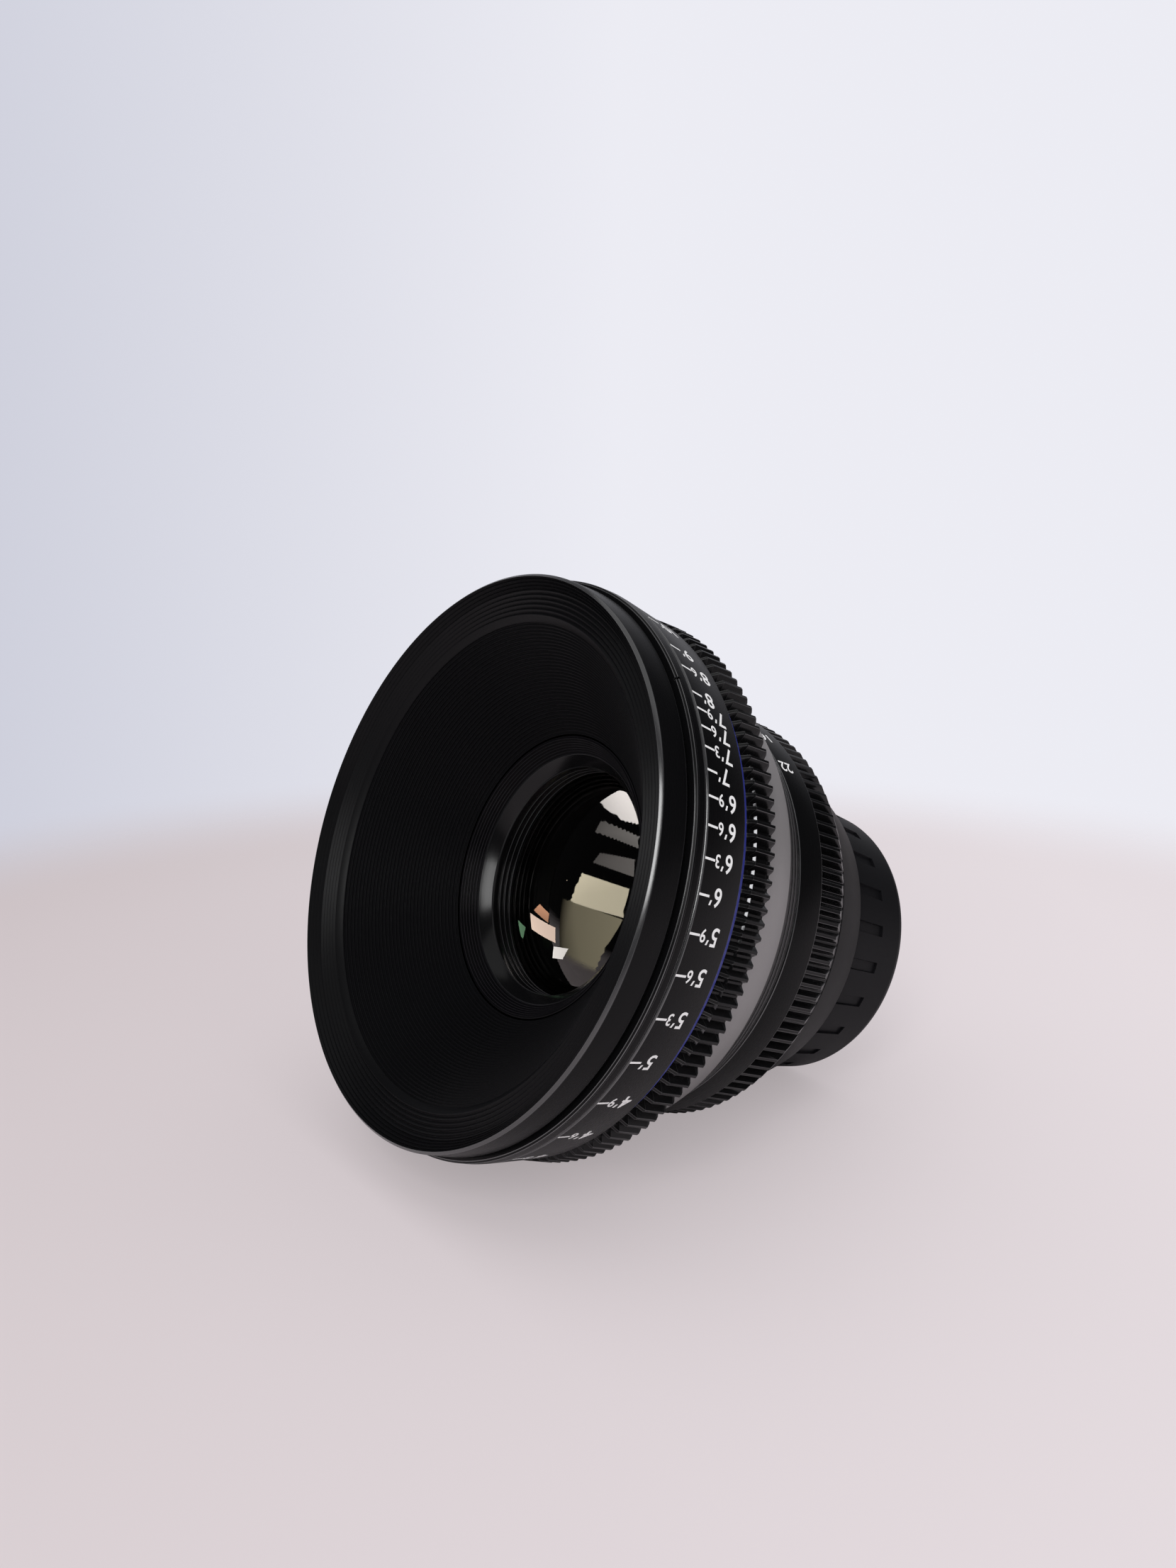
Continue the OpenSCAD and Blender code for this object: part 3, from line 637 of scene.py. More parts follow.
# %% Clamp ring
CLAMP_LIP, CLAMP_LAND, CLAMP_BEVEL = 0.9, 0.2, 2.2
BORE_GROOVES, BORE_GROOVE_W, BORE_GROOVE_D = 3, 0.6, 0.35
z_seat_1 = EYE_Z + 10.25
clamp_bore = LENS_1_R - CLAMP_LIP
bore_from = z_trim_end + CLAMP_BEVEL
groove_gap = (z_seat_1 - bore_from) / (BORE_GROOVES + 1)
groove_r = clamp_bore + BORE_GROOVE_D
bore = []
for i in range(BORE_GROOVES):
    z = z_seat_1 - (i + 1) * groove_gap
    bore += [(clamp_bore, z + BORE_GROOVE_W), (groove_r, z + BORE_GROOVE_W), (groove_r, z),
             (clamp_bore, z)]
clamp = lathe(
    "clamp_ring_turned",
    [(trim_in - CLAMP_LAND, z_trim_end), (trim_in, z_trim_end), (trim_in, z_seat_1),
     (clamp_bore, z_seat_1)] + bore + [(clamp_bore, bore_from)],
    "front_retainer", gloss_black, "optics", corner=0.25)
print(clamp.name, "bore:", round(clamp_bore, 2), "mm")

# %% [markdown]
# ## Front element
# The front element is a shallow dome of glass. A sphere cut by a plane would
# give the dome, but a turned outline carries it over into the flat rim in the
# same mesh. Its back takes a coating that reflects almost nothing, because the
# dark block behind it is what the eye sees there.

# %% Front element
FRONT_BEND = 70.0
GLASS_STEPS = 40
POLE_R = 0.01
SEAT_FIT, BACK_FROM = 0.05, 0.5
z_back_1 = EYE_Z + 14.1
vertex = z_seat_1 + SEAT_FIT - FRONT_BEND + math.sqrt(FRONT_BEND ** 2 - clamp_bore ** 2)


def dome_z(r):
    return vertex + FRONT_BEND - math.sqrt(FRONT_BEND ** 2 - r * r)


dome_radii = [max(POLE_R, LENS_1_R * k / GLASS_STEPS) for k in range(GLASS_STEPS + 1)]
dome = [(r, dome_z(r)) for r in dome_radii]
front_element = lathe("front_element", [(POLE_R, z_back_1)] + dome + [(LENS_1_R, z_back_1)],
                      "lens_1", front_glass, "optics", corner=0.01)
front_element.data.materials.append(back_glass)
for face in front_element.data.polygons:
    if (face.center - rim_centre).dot(back) > (z_seat_1 + BACK_FROM) * MM:
        face.material_index = 1
print("dome stands", round(dome_z(LENS_1_R) - vertex, 2), "mm proud of its rim")

# %% [markdown]
# ## Focus ring
# The scale band tapers towards the gear, and its bore has a relief where the
# follower pins of the optics run. Behind the band lies a thin blue line, a
# little deeper than the band, so it only shows where the eye looks down on it.
# Paint on the band could stand for the line, but then it would show all round.

# %% Scale band and blue line
BAND_EDGE = 0.3
ACCENT_W, ACCENT_DROP, ACCENT_TO = 0.7, 1.05, 0.83
RELIEF_DEEP = 1.3
relief_r = focus_bore_r + RELIEF_DEEP
z_relief_from, z_relief_to = z_scale + 0.8, z_scale + 14.2
z_accent = z_focus_gear - ACCENT_W
z_teeth = z_focus_gear + ACCENT_TO
accent_r = scale_rear_r - ACCENT_DROP
focus_band = lathe(
    "focus_band",
    [(focus_bore_r, z_scale), (scale_front_r - BAND_EDGE, z_scale),
     (scale_front_r, z_scale + BAND_EDGE), (scale_rear_r, z_accent), (focus_seat_r, z_accent),
     (focus_seat_r, z_focus_end), (focus_bore_r, z_focus_end), (focus_bore_r, z_relief_to),
     (relief_r, z_relief_to), (relief_r, z_relief_from), (focus_bore_r, z_relief_from)],
    "focus_ring", black, "focus", edge=edge_black, chamfers=(1,))
blue_line = lathe(
    "blue_line",
    [(focus_seat_r, z_accent), (accent_r, z_accent), (accent_r, z_teeth), (focus_seat_r, z_teeth)],
    "accent_ring", blue, "focus", corner=0.06)
print("focus pieces:", focus_band.name, blue_line.name)

# %% [markdown]
# ## Focus gear
# The gear is for a drive motor or a follow focus. Its teeth could be copies of
# one tooth round a ring, but then they need joining. Here each tooth is a few
# angles of the same sweep, which follow the tooth's outline: a share of half a
# pitch, and the height there. Both ends are bevelled so a drive gear slides in.

# %% Focus gear
TOOTH = [(0.0, 1.0), (0.19, 1.0), (0.25, 0.96), (0.77, 0.04), (0.82, 0.0), (1.0, 0.0)]
TOOTH_SIDES = [-1.0, -0.82, -0.77, -0.25, -0.19, 0.19, 0.25, 0.77, 0.82]
TIP_EDGES = (TOOTH_SIDES.index(-0.25), TOOTH_SIDES.index(0.19))
FRONT_BEVEL, BEVEL_STEPS = 2.3, 5
REAR_BEVEL, REAR_DROP = 0.8, 0.9
tooth_angles = [(k + half / 2) * 360 / FOCUS_TEETH
                for k in range(FOCUS_TEETH) for half in TOOTH_SIDES]


def toothed(r, z, angle):
    """Keeps a radius under the outline of the tooth that is nearest to an angle."""
    off = 2 * abs((angle * FOCUS_TEETH / 360 + 0.5) % 1 - 0.5)
    for (from_off, from_h), (to_off, to_h) in zip(TOOTH, TOOTH[1:]):
        if off <= to_off:
            height = from_h + (to_h - from_h) * (off - from_off) / (to_off - from_off)
            return min(r, focus_root_r + height * (focus_tip_r - focus_root_r))
    return min(r, focus_root_r)


rise = (focus_tip_r - accent_r) / BEVEL_STEPS
run = (z_focus_gear + FRONT_BEVEL - z_teeth) / BEVEL_STEPS
bevel = [(accent_r + i * rise, z_teeth + i * run) for i in range(BEVEL_STEPS + 1)]
focus_gear = lathe(
    "focus_gear_cut",
    [(focus_seat_r, z_teeth)] + bevel
    + [(focus_tip_r, z_focus_end - REAR_BEVEL), (focus_tip_r - REAR_DROP, z_focus_end),
       (focus_seat_r, z_focus_end)],
    "focus_gear", gear_black, "focus", corner=0.06, angles=tooth_angles,
    shape=toothed)
focus_gear.data.materials.append(edge_black)
row_faces = len(focus_gear.data.polygons) // len(tooth_angles)
for face in focus_gear.data.polygons:
    if face.index // row_faces % len(TOOTH_SIDES) in TIP_EDGES:
        face.material_index = 1
print("focus teeth:", FOCUS_TEETH)

# %% [markdown]
# ## Bright ramps between the teeth
# Where the cutter stops, it leaves a small polished ramp in each gap, and the
# ramps that face a window flash white. A spot of paint would be white from all
# sides. One ring with a sloping face does it: the teeth hide the rest of it.

# %% Ramps
RAMP_FROM, RAMP_LEN, RAMP_H, RAMP_T = 3.35, 0.38, 0.46, 0.3
z_ramp = z_focus_gear + RAMP_FROM
tooth_roots = lathe(
    "polished_roots",
    [(focus_root_r - RAMP_T, z_ramp), (focus_root_r, z_ramp),
     (focus_root_r + RAMP_H, z_ramp + RAMP_LEN), (focus_root_r - RAMP_T, z_ramp + RAMP_LEN)],
    None, root_metal, "focus", corner=0.02)
print("ramps on", tooth_roots.name)

# %% [markdown]
# ## Index ring and guard ring
# Behind the focus gear the barrel steps down in cones. The grey index ring is
# the only pale one. The guard ring behind it has two fine grooves. Both are
# plain turned outlines, so the grooves' edges are real and catch the light.

# %% Index ring
INDEX_REAR_R = 48.3
INDEX_STEP, INDEX_NECK, INDEX_DROP = 1.7, 2.8, 1.0
CARRIER_ROOM = 7.0
step_r = barrel_r - INDEX_STEP
neck_r = INDEX_REAR_R - INDEX_NECK
z_wall = z_focus_end + CARRIER_ROOM
index_ring = lathe(
    "index_ring_turned",
    [(step_r, z_index), (focus_root_r - INDEX_DROP, z_index), (INDEX_REAR_R, z_guard),
     (neck_r, z_guard), (neck_r, z_wall), (step_r, z_wall)],
    "index_ring", grey, "barrel")
print(index_ring.name, "ends at", INDEX_REAR_R, "mm")

# %% Guard ring
GUARD_STEP = 0.3
GROOVE, GROOVE_SHARES = 0.4, (0.36, 0.66)
guard_front, guard_back = INDEX_REAR_R - GUARD_STEP, iris_scale_r + GUARD_STEP


def guard_r(z):
    return guard_front + (guard_back - guard_front) * (z - z_guard) / GUARD_LEN


guard_outline = [(rear_tube_r, z_guard), (guard_front, z_guard)]
for share in GROOVE_SHARES:
    z = z_guard + share * GUARD_LEN
    guard_outline += [(guard_r(z), z), (guard_r(z) - GROOVE, z),
                      (guard_r(z) - GROOVE, z + GROOVE), (guard_r(z + GROOVE), z + GROOVE)]
guard_outline += [(guard_back, z_guard + GUARD_LEN), (rear_tube_r, z_guard + GUARD_LEN)]
guard_ring = lathe("guard_ring_turned", guard_outline, "guard_ring", black, "barrel",
                   corner=0.08, edge=edge_black)
print("grooves in", guard_ring.name, ":", len(GROOVE_SHARES))

# %% [markdown]
# ## Iris ring and its gear
# The iris ring turns behind the guard ring and carries the stops. Its band is
# turned again, but its gear keeps the solid, whose bevelled teeth are right
# already. A Bevel modifier adds the fine bright edges without touching the
# solid's mesh, and a Weld modifier first joins the points of its faces.

# %% Iris ring and gear
IRIS_SEAT = 1.0
TOOTH_EDGE, EDGE_ANGLE = 0.07, 14
iris_seat_r = iris_root_r - IRIS_SEAT
iris_band = lathe(
    "iris_band",
    [(iris_bore_r, z_iris), (iris_scale_r - BAND_EDGE, z_iris),
     (iris_scale_r, z_iris + BAND_EDGE), (iris_scale_r, z_iris_gear),
     (iris_seat_r, z_iris_gear), (iris_seat_r, z_iris_end), (iris_bore_r, z_iris_end)],
    "iris_ring", black, "iris", edge=edge_black)
iris_gear = frame["nodes"]["iris_gear"]
weld = iris_gear.modifiers.new("weld", "WELD")
weld.merge_threshold = 0.001 * MM
bright_edges = iris_gear.modifiers.new("bevel", "BEVEL")
bright_edges.width = TOOTH_EDGE * MM
bright_edges.segments = 2
bright_edges.limit_method = "ANGLE"
bright_edges.angle_limit = math.radians(EDGE_ANGLE)
bright_edges.material = 1
iris_gear.data.materials.clear()
iris_gear.data.materials.append(gear_black)
iris_gear.data.materials.append(edge_black)
print("iris pieces:", iris_band.name, iris_gear.name)

# %% [markdown]
# ## Rear ring
# The rear ring narrows to the mount and holds its flange. It is the dullest of
# the outer rings, so it has a black of its own. The steps inside it match the
# solids that it clamps, because the same outline closes the ring there.

# %% Rear ring
FLANGE_R, THROAT_R = 33.0, 27.0
SPIGOT, SPIGOT_T, LAND = 3.0, 2.0, 2.3
SEAT_DEPTH, SEAT_LEN, SEAT_WALL = 3.6, 4.4, 1.4
REAR_WALL, SHOULDER = 2.9, 0.2
NOSE_OUT, NOSE_IN, NOSE_LEN = 1.9, 1.5, 1.0
rear_in = rear_tube_r - REAR_WALL
z_mount = z_flange - SEAT_DEPTH
rear_ring = lathe(
    "rear_ring_turned",
    [(rear_in - SPIGOT_T, z_rear - SPIGOT), (rear_in, z_rear - SPIGOT), (rear_in, z_rear),
     (rear_tube_r + SHOULDER, z_rear), (rear_tube_r + SHOULDER, z_rear + LAND),
     (FLANGE_R + NOSE_OUT, z_flange - NOSE_LEN), (FLANGE_R + NOSE_IN, z_flange - EDGE),
     (FLANGE_R, z_flange - EDGE), (FLANGE_R, z_mount), (THROAT_R + SEAT_WALL, z_mount),
     (THROAT_R + SEAT_WALL, z_mount - SEAT_LEN), (rear_in - SPIGOT_T, z_mount - SEAT_LEN)],
    "rear_ring", rear_black, "barrel", corner=0.15)
print("rear ring:", rear_ring.name)

# %% [markdown]
# ## Rear cap
# The cap is moulded plastic with shallow finger grooves. A Boolean could cut
# them, but extra sweep angles on both sides of each groove keep its walls steep
# while the rest stays smooth. An extra ring of points near the middle keeps
# the flat back shaded as flat.

# %% Sweep angles of the cap
CAP_R, CAP_DRAFT, CAP_ROUND, CAP_WALL = 32.0, 1.8, 3.5, 1.6
GROOVES, GROOVE_W, GROOVE_LEN, GROOVE_D, GROOVE_FROM = 24, 2.2, 9.5, 0.5, 1.7
SIDE_DEG = 0.25
LAND_PARTS = 5
half_deg = math.degrees(GROOVE_W / 2 / CAP_R)
wall_deg = half_deg + SIDE_DEG
land_deg = 360 / GROOVES - 2 * wall_deg
cap_angles = []
for k in range(GROOVES):
    middle = 360 * k / GROOVES
    cap_angles += [middle + d for d in (-wall_deg, -half_deg, 0, half_deg, wall_deg)]
    cap_angles += [middle + wall_deg + land_deg * j / LAND_PARTS for j in range(1, LAND_PARTS)]
print("cap grooves:", GROOVES, "sweep angles:", len(cap_angles))

# %% Cap
ROUND_STEPS = 8
WALL_Z, WALL_SLACK = 0.12, 0.2
BACK_T, GRIP_LEN, CENTRE_R = 2.2, 4.0, 1.0
cap_rear_r = CAP_R - CAP_DRAFT
cap_round_r = cap_rear_r - CAP_ROUND
hollow_r = cap_rear_r - CAP_WALL
grip_r = THROAT_R + SLIDE_FIT
z_round = z_end - CAP_ROUND
z_groove = z_cap + GROOVE_FROM
z_groove_end = z_groove + GROOVE_LEN


def cap_wall_r(z):
    return CAP_R - CAP_DRAFT * (z - z_cap) / (z_round - z_cap)


def grooved(r, z, angle):
    """Lowers the wall inside a groove."""
    off = (angle + 180 / GROOVES) % (360 / GROOVES) - 180 / GROOVES
    in_groove = abs(off) <= half_deg + TINY and z_groove <= z <= z_groove_end
    return r - GROOVE_D if in_groove and r > cap_rear_r - WALL_SLACK else r


cap_outline = [(grip_r, z_cap), (CAP_R, z_cap)]
for z in (z_groove - WALL_Z, z_groove + WALL_Z, z_groove_end - WALL_Z, z_groove_end + WALL_Z):
    cap_outline.append((cap_wall_r(z), z))
for i in range(ROUND_STEPS + 1):
    a = math.radians(90 * i / ROUND_STEPS)
    cap_outline.append((cap_round_r + CAP_ROUND * math.cos(a), z_round + CAP_ROUND * math.sin(a)))
cap_outline += [(CENTRE_R, z_end), (POLE_R, z_end), (POLE_R, z_end - BACK_T),
                (hollow_r, z_end - BACK_T), (hollow_r, z_cap + GRIP_LEN),
                (grip_r, z_cap + GRIP_LEN)]
cap = lathe("cap_moulded", cap_outline, "rear_cap", cap_plastic, "rear_cap",
            corner=0.1, angles=cap_angles, shape=grooved)
print("cap faces:", len(cap.data.polygons))

# %% [markdown]
# ## Finishes of the solids that stay
# The pieces under the skin keep their solids: barrels, carrier, screws, blades,
# inner glass and the mount. They could be turned again too, but they hardly
# show. Each takes the finish that its material slot asks for.

# %% Inner pieces
by_slot = {"anodised_black": deep_black, "bare_aluminium": inside_metal, "steel": steel,
           "glass": inner_glass, "blade_steel": blade_black, "grey_anodised": grey,
           "accent_blue": blue, "cap_plastic": cap_plastic}
inner = [entry for entry in frame["record"]["subparts"] if entry["node"] != "iris_gear"]
for entry in inner:
    solid = frame["nodes"][entry["node"]]
    solid.data.materials.clear()
    solid.data.materials.append(by_slot[entry["material_slot"]])
print("solids finished:", len(inner))

# %% [markdown]
# ## Marks on a ring
# The numbers on a lens are cut into the rings and filled with white paint. A
# picture on the ring's map would blur up close, so each mark is a thin mesh. A
# flat glyph is bent onto the ring by turning its width into depth and its
# height into angle, and a Solidify modifier sinks the paint into the ring.

# %% Glyphs
GLYPH_STEPS, STROKE = 6, 0.012


def glyph_mesh(text, size):
    """Flat outline of a text as points and faces, in millimetres."""
    curve = bpy.data.curves.new("glyph", "FONT")
    curve.body = text
    curve.size = size
    curve.resolution_u = GLYPH_STEPS
    curve.offset = STROKE * size
    holder = bpy.data.objects.new("glyph", curve)
    bpy.context.scene.collection.objects.link(holder)
    graph = bpy.context.evaluated_depsgraph_get()
    mesh = bpy.data.meshes.new_from_object(holder.evaluated_get(graph))
    points = [(v.co.x, v.co.y) for v in mesh.vertices]
    faces = [tuple(p.vertices) for p in mesh.polygons]
    bpy.data.objects.remove(holder)
    bpy.data.curves.remove(curve)
    bpy.data.meshes.remove(mesh)
    return points, faces


print("points in a digit:", len(glyph_mesh("5", 1.0)[0]))

# %% Bending marks onto a ring
LIFT, PAINT_DEPTH = 0.03, 0.08
DIGIT_H, SQUEEZE = 0.70, 0.95


class Marks:
    """Collects painted marks that lie on one ring."""

    def __init__(self, ring_radius):
        self.ring_radius = ring_radius
        self.points, self.faces = [], []

    def add(self, points, faces, depth, angle):
        """Text x runs towards the front, text y runs round the ring."""
        first = len(self.points)
        for x, y in points:
            z = depth - x
            r = self.ring_radius(z) + LIFT
            self.points.append(place(r, angle + math.degrees(y / r), z))
        self.faces += [tuple(first + i for i in face) for face in faces]

    def text(self, words, size, front, angle):
        """Words that end at a depth and straddle an angle. Returns the depth where they start."""
        points, faces = glyph_mesh(words, size)
        last = max(x for x, _ in points)
        first = min(x for x, _ in points)
        middle = -DIGIT_H / 2 * size
        self.add([(SQUEEZE * (x - last), y + middle) for x, y in points], faces, front, angle)
        return front + SQUEEZE * (last - first)

    def tick(self, depth, length, width, angle):
        corners = [(0, -width / 2), (length, -width / 2), (length, width / 2), (0, width / 2)]
        self.add(corners, [(0, 1, 2, 3)], depth, angle)

    def piece(self, name, material, body, slot):
        made = new_piece(name, self.points, self.faces, material)
        coat = made.modifiers.new("paint_depth", "SOLIDIFY")
        coat.thickness = PAINT_DEPTH * MM
        coat.offset = -1
        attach(made, body)
        return made


print("paint stands", LIFT, "mm proud")

# %% [markdown]
# ## Focus scale
# The scale is in feet and inches and crowds together towards infinity, as every
# focus scale does. Its angles could be typed in one by one. A mark's angle
# grows with how far the optics stand out for its distance, so one formula
# places them all, and they agree with the focus joint.

# %% Focus scale
FOOT, FOCAL = 304.8, 85.0
INFINITY_DEG, DEG_PER_MM = -147.5, 32.085
FEET_SIZE, INCH_SIZE = 4.7, 3.3
TICK_TO, TICK_LEN, TICK_W = 3.1, 2.75, 0.42
LABEL_GAP, SPACE = 0.2, 0.4
PRIME = [(0.0, 0.55), (0.40, 0.55), (0.75, 1.45), (0.30, 1.45)]
PRIME_W = 0.75


def focus_angle(feet):
    """Angle of a distance mark, from how far the optics stand out for it."""
    return INFINITY_DEG + DEG_PER_MM * FOCAL ** 2 / (feet * FOOT - 2 * FOCAL)


def band_r(z):
    share = (z - z_scale - BAND_EDGE) / (SCALE_LEN - ACCENT_W - BAND_EDGE)
    return scale_front_r + (scale_rear_r - scale_front_r) * share


focus_marks = Marks(band_r)
labels = [(f, i) for f in (3, 4, 5, 6, 7) for i in (0, 3, 6, 9) if f > 3 or i > 0]
labels += [(8, 0), (8, 6), (9, 0), (10, 0), (12, 0), (15, 0), (20, 0), (30, 0)]
for feet, inches in labels:
    angle = focus_angle(feet + inches / 12)
    focus_marks.tick(z_scale + TICK_TO, TICK_LEN, TICK_W, angle)
    end = z_scale + TICK_TO + LABEL_GAP
    if inches:
        end = focus_marks.text(str(inches), INCH_SIZE, end, angle) + SPACE
    focus_marks.add(PRIME, [(0, 1, 2, 3)], end + PRIME_W, angle)
    focus_marks.text(str(feet), FEET_SIZE, end + PRIME_W + SPACE, angle)
focus_marks.tick(z_scale + TICK_TO, TICK_LEN, TICK_W, INFINITY_DEG)
focus_scale = focus_marks.piece("focus_scale", paint, "focus", "anodised_black")
print(focus_scale.name, "marks:", len(labels) + 1)

# %% [markdown]
# ## Iris scale
# The stops are evenly spaced, because the blades are shaped so that each stop
# takes the same turn. The angles could be typed in, but one turn divided by the
# number of stops gives them all. A short white line on the guard ring reads them.

# %% Iris scale
STOPS = ["2.1", "2.8", "4", "5.6", "8", "11", "16", "22"]
IRIS_LAST_DEG, IRIS_TURN = -52.0, 85.0
STOP_SIZE, STOP_FROM = 3.8, 0.9
READ_FROM, READ_LEN, READ_W = 0.2, 1.7, 0.3
iris_marks = Marks(lambda z: iris_scale_r)
stop_gap = IRIS_TURN / (len(STOPS) - 1)
for i, stop in enumerate(STOPS):
    angle = IRIS_LAST_DEG - stop_gap * (len(STOPS) - 1 - i)
    iris_marks.text(stop, STOP_SIZE, z_iris + STOP_FROM, angle)
iris_scale = iris_marks.piece("iris_scale", paint, "iris", "anodised_black")
reading = Marks(guard_r)
reading.tick(z_guard + GUARD_LEN - READ_FROM, READ_LEN, READ_W, IRIS_LAST_DEG - IRIS_TURN)
reading_line = reading.piece("reading_line", paint, "barrel", "anodised_black")
print(iris_scale.name, "marks:", len(STOPS), "read at", reading_line.name)

# %% [markdown]
# ## Camera
# The camera stands close to the lens and a little above it, to the side of its
# axis. Its place was solved from the ellipses of the rims, which fixes the
# perspective better than trying angles by eye.

# %% Camera
CAMERA_AT = Vector((0.23564, -0.18281, 0.13705))
CAMERA_PITCH, CAMERA_YAW = 12.37, 53.91
CAMERA_LENS = 33.36
camera_data = bpy.data.cameras.new("photo_camera")
camera_data.lens = CAMERA_LENS
camera_data.sensor_width = 36.0
camera_data.clip_start = 0.01
camera = bpy.data.objects.new("photo_camera", camera_data)
camera.location = CAMERA_AT
camera.rotation_euler = (math.radians(90 - CAMERA_PITCH), 0, math.radians(CAMERA_YAW))
bpy.context.scene.collection.objects.link(camera)
bpy.context.scene.camera = camera
print("camera at", tuple(CAMERA_AT))

# %% [markdown]
# ## Table
# The lens lies on a pale table that runs into a pale background without a hard
# horizon. A curved backdrop could do that, but a flat table that fades out
# round the lens does it from every side. Half of what the camera sees of it is
# its plain colour, so that the shadow on it stays light.

# %% Table colour
# The table is painted darker to the left of the view and paler to the right, as painted shade, with a faint mottle
# of its own tone over it.
TABLE_DARK, TABLE_PALE = (0.60, 0.53, 0.54), (0.83, 0.765, 0.787)
SHADE_FROM, SHADE_TO, SHADE_MOST = -0.25, 0.15, 0.9
MOTTLE_SCALE, MOTTLE = 6.0, 0.1
yaw = math.radians(CAMERA_YAW)
view_away = Vector((-math.sin(yaw), math.cos(yaw), 0))
view_right = Vector((view_away.y, -view_away.x, 0))
table_mat, tree, shader = new_material("pale_table")
coords = tree.nodes.new("ShaderNodeTexCoord")
on_table = coords.outputs["Object"]
mottle = make_node(tree, "ShaderNodeTexNoise", Scale=MOTTLE_SCALE, Detail=3.0)
tree.links.new(on_table, mottle.inputs["Vector"])
across = maths(tree, "ShaderNodeVectorMath", "DOT_PRODUCT", on_table, view_right)
painted_daylight = make_node(tree, "ShaderNodeMapRange", From_Min=SHADE_FROM, From_Max=SHADE_TO,
                     To_Max=SHADE_MOST)
tree.links.new(across, painted_daylight.inputs["Value"])
mottle_and_painted_shade = maths(tree, "ShaderNodeMath", "MULTIPLY_ADD", mottle.outputs["Fac"], MOTTLE,
                painted_daylight.outputs["Result"])
table_colour = blend(tree, mottle_and_painted_shade, TABLE_DARK, TABLE_PALE)
tree.links.new(table_colour, shader.inputs["Base Color"])
shader.inputs["Roughness"].default_value = 0.55
shader.inputs["Specular IOR Level"].default_value = 0.2
print("table material:", table_mat.name)

# %% Table
TABLE = 1.5
FADE_FROM, FADE_TO = 0.24, 0.36
SHADOW_LIFT = 0.5
glow = make_node(tree, "ShaderNodeEmission", Strength=1.0)
tree.links.new(table_colour, glow.inputs["Color"])
path = tree.nodes.new("ShaderNodeLightPath")
paleness = maths(tree, "ShaderNodeMath", "MULTIPLY", path.outputs["Is Camera Ray"], SHADOW_LIFT)
lifted = mix_shaders(tree, paleness, shader.outputs["BSDF"], glow.outputs["Emission"])
fade = make_node(tree, "ShaderNodeMapRange", From_Min=FADE_FROM, From_Max=FADE_TO)
fade.interpolation_type = "SMOOTHSTEP"
tree.links.new(maths(tree, "ShaderNodeVectorMath", "LENGTH", on_table), fade.inputs["Value"])
gone = tree.nodes.new("ShaderNodeBsdfTransparent")
faded = mix_shaders(tree, fade.outputs["Result"], lifted, gone.outputs["BSDF"])
tree.links.new(faded, tree.nodes["Material Output"].inputs["Surface"])
table = new_piece("table", [(-TABLE, -TABLE, 0), (TABLE, -TABLE, 0), (TABLE, TABLE, 0),
                            (-TABLE, TABLE, 0)], [(0, 1, 2, 3)], table_mat)
print("table fades out from", FADE_FROM, "m to", FADE_TO, "m")

# %% [markdown]
# ## Room
# The background is pale, but the side of the room behind the camera is dark, so
# the faces that look at the camera stay nearly black. One even sky could not do
# both. The world is split by the kind of ray instead: the camera sees the
# backdrop, reflections see the room, and everything else gets an even light.

# %% Room
WALL_DARK, WALL_PALE = (0.015, 0.015, 0.016), (0.42, 0.42, 0.45)
FLOOR_PALE = (0.50, 0.46, 0.48)
EVEN_LIGHT = (0.66, 0.655, 0.68, 1)
BACKDROP_LEFT, BACKDROP_RIGHT = (0.60, 0.61, 0.70), (0.84, 0.84, 0.90)
world = bpy.data.worlds.new("room")
bpy.context.scene.world = world
world.use_nodes = True
tree = world.node_tree
tree.nodes.clear()
sight = tree.nodes.new("ShaderNodeTexCoord").outputs["Generated"]


def facing(direction, low, high):
    """0 to 1 as a sight line turns towards a direction."""
    share = make_node(tree, "ShaderNodeMapRange", From_Min=low, From_Max=high)
    dot = maths(tree, "ShaderNodeVectorMath", "DOT_PRODUCT", sight, direction)
    tree.links.new(dot, share.inputs["Value"])
    return share.outputs["Result"]


room = make_node(tree, "ShaderNodeBackground", Strength=1.0)
walls = blend(tree, facing(view_away, 0.55, 0.92), WALL_DARK, WALL_PALE)
with_floor = blend(tree, facing((0, 0, -1), 0.0, 0.06), walls, FLOOR_PALE)
tree.links.new(with_floor, room.inputs["Color"])
even = make_node(tree, "ShaderNodeBackground", Color=EVEN_LIGHT, Strength=1.0)
# The backdrop runs from darker on the left to paler on the right: painted shade across the wall behind the lens.
backdrop = make_node(tree, "ShaderNodeBackground", Strength=1.0)
sweep = blend(tree, facing(view_right, -0.42, 0.02), BACKDROP_LEFT, BACKDROP_RIGHT)
tree.links.new(sweep, backdrop.inputs["Color"])
path = tree.nodes.new("ShaderNodeLightPath")
mirrors = maths(tree, "ShaderNodeMath", "MAXIMUM", path.outputs["Is Glossy Ray"],
                path.outputs["Is Transmission Ray"])
seen = mix_shaders(tree, mirrors, even.outputs["Background"], room.outputs["Background"])
seen = mix_shaders(tree, path.outputs["Is Camera Ray"], seen, backdrop.outputs["Background"])
output = tree.nodes.new("ShaderNodeOutputWorld")
tree.links.new(seen, output.inputs["Surface"])
print("world:", world.name)

# %% [markdown]
# ## Lamps
# A broad soft box overhead stands for the ceiling light of the studio, and a
# tall window to the side of the camera draws the bright lines on the edges and
# in the gear. Area lamps are used, because their shape shows in the reflections.

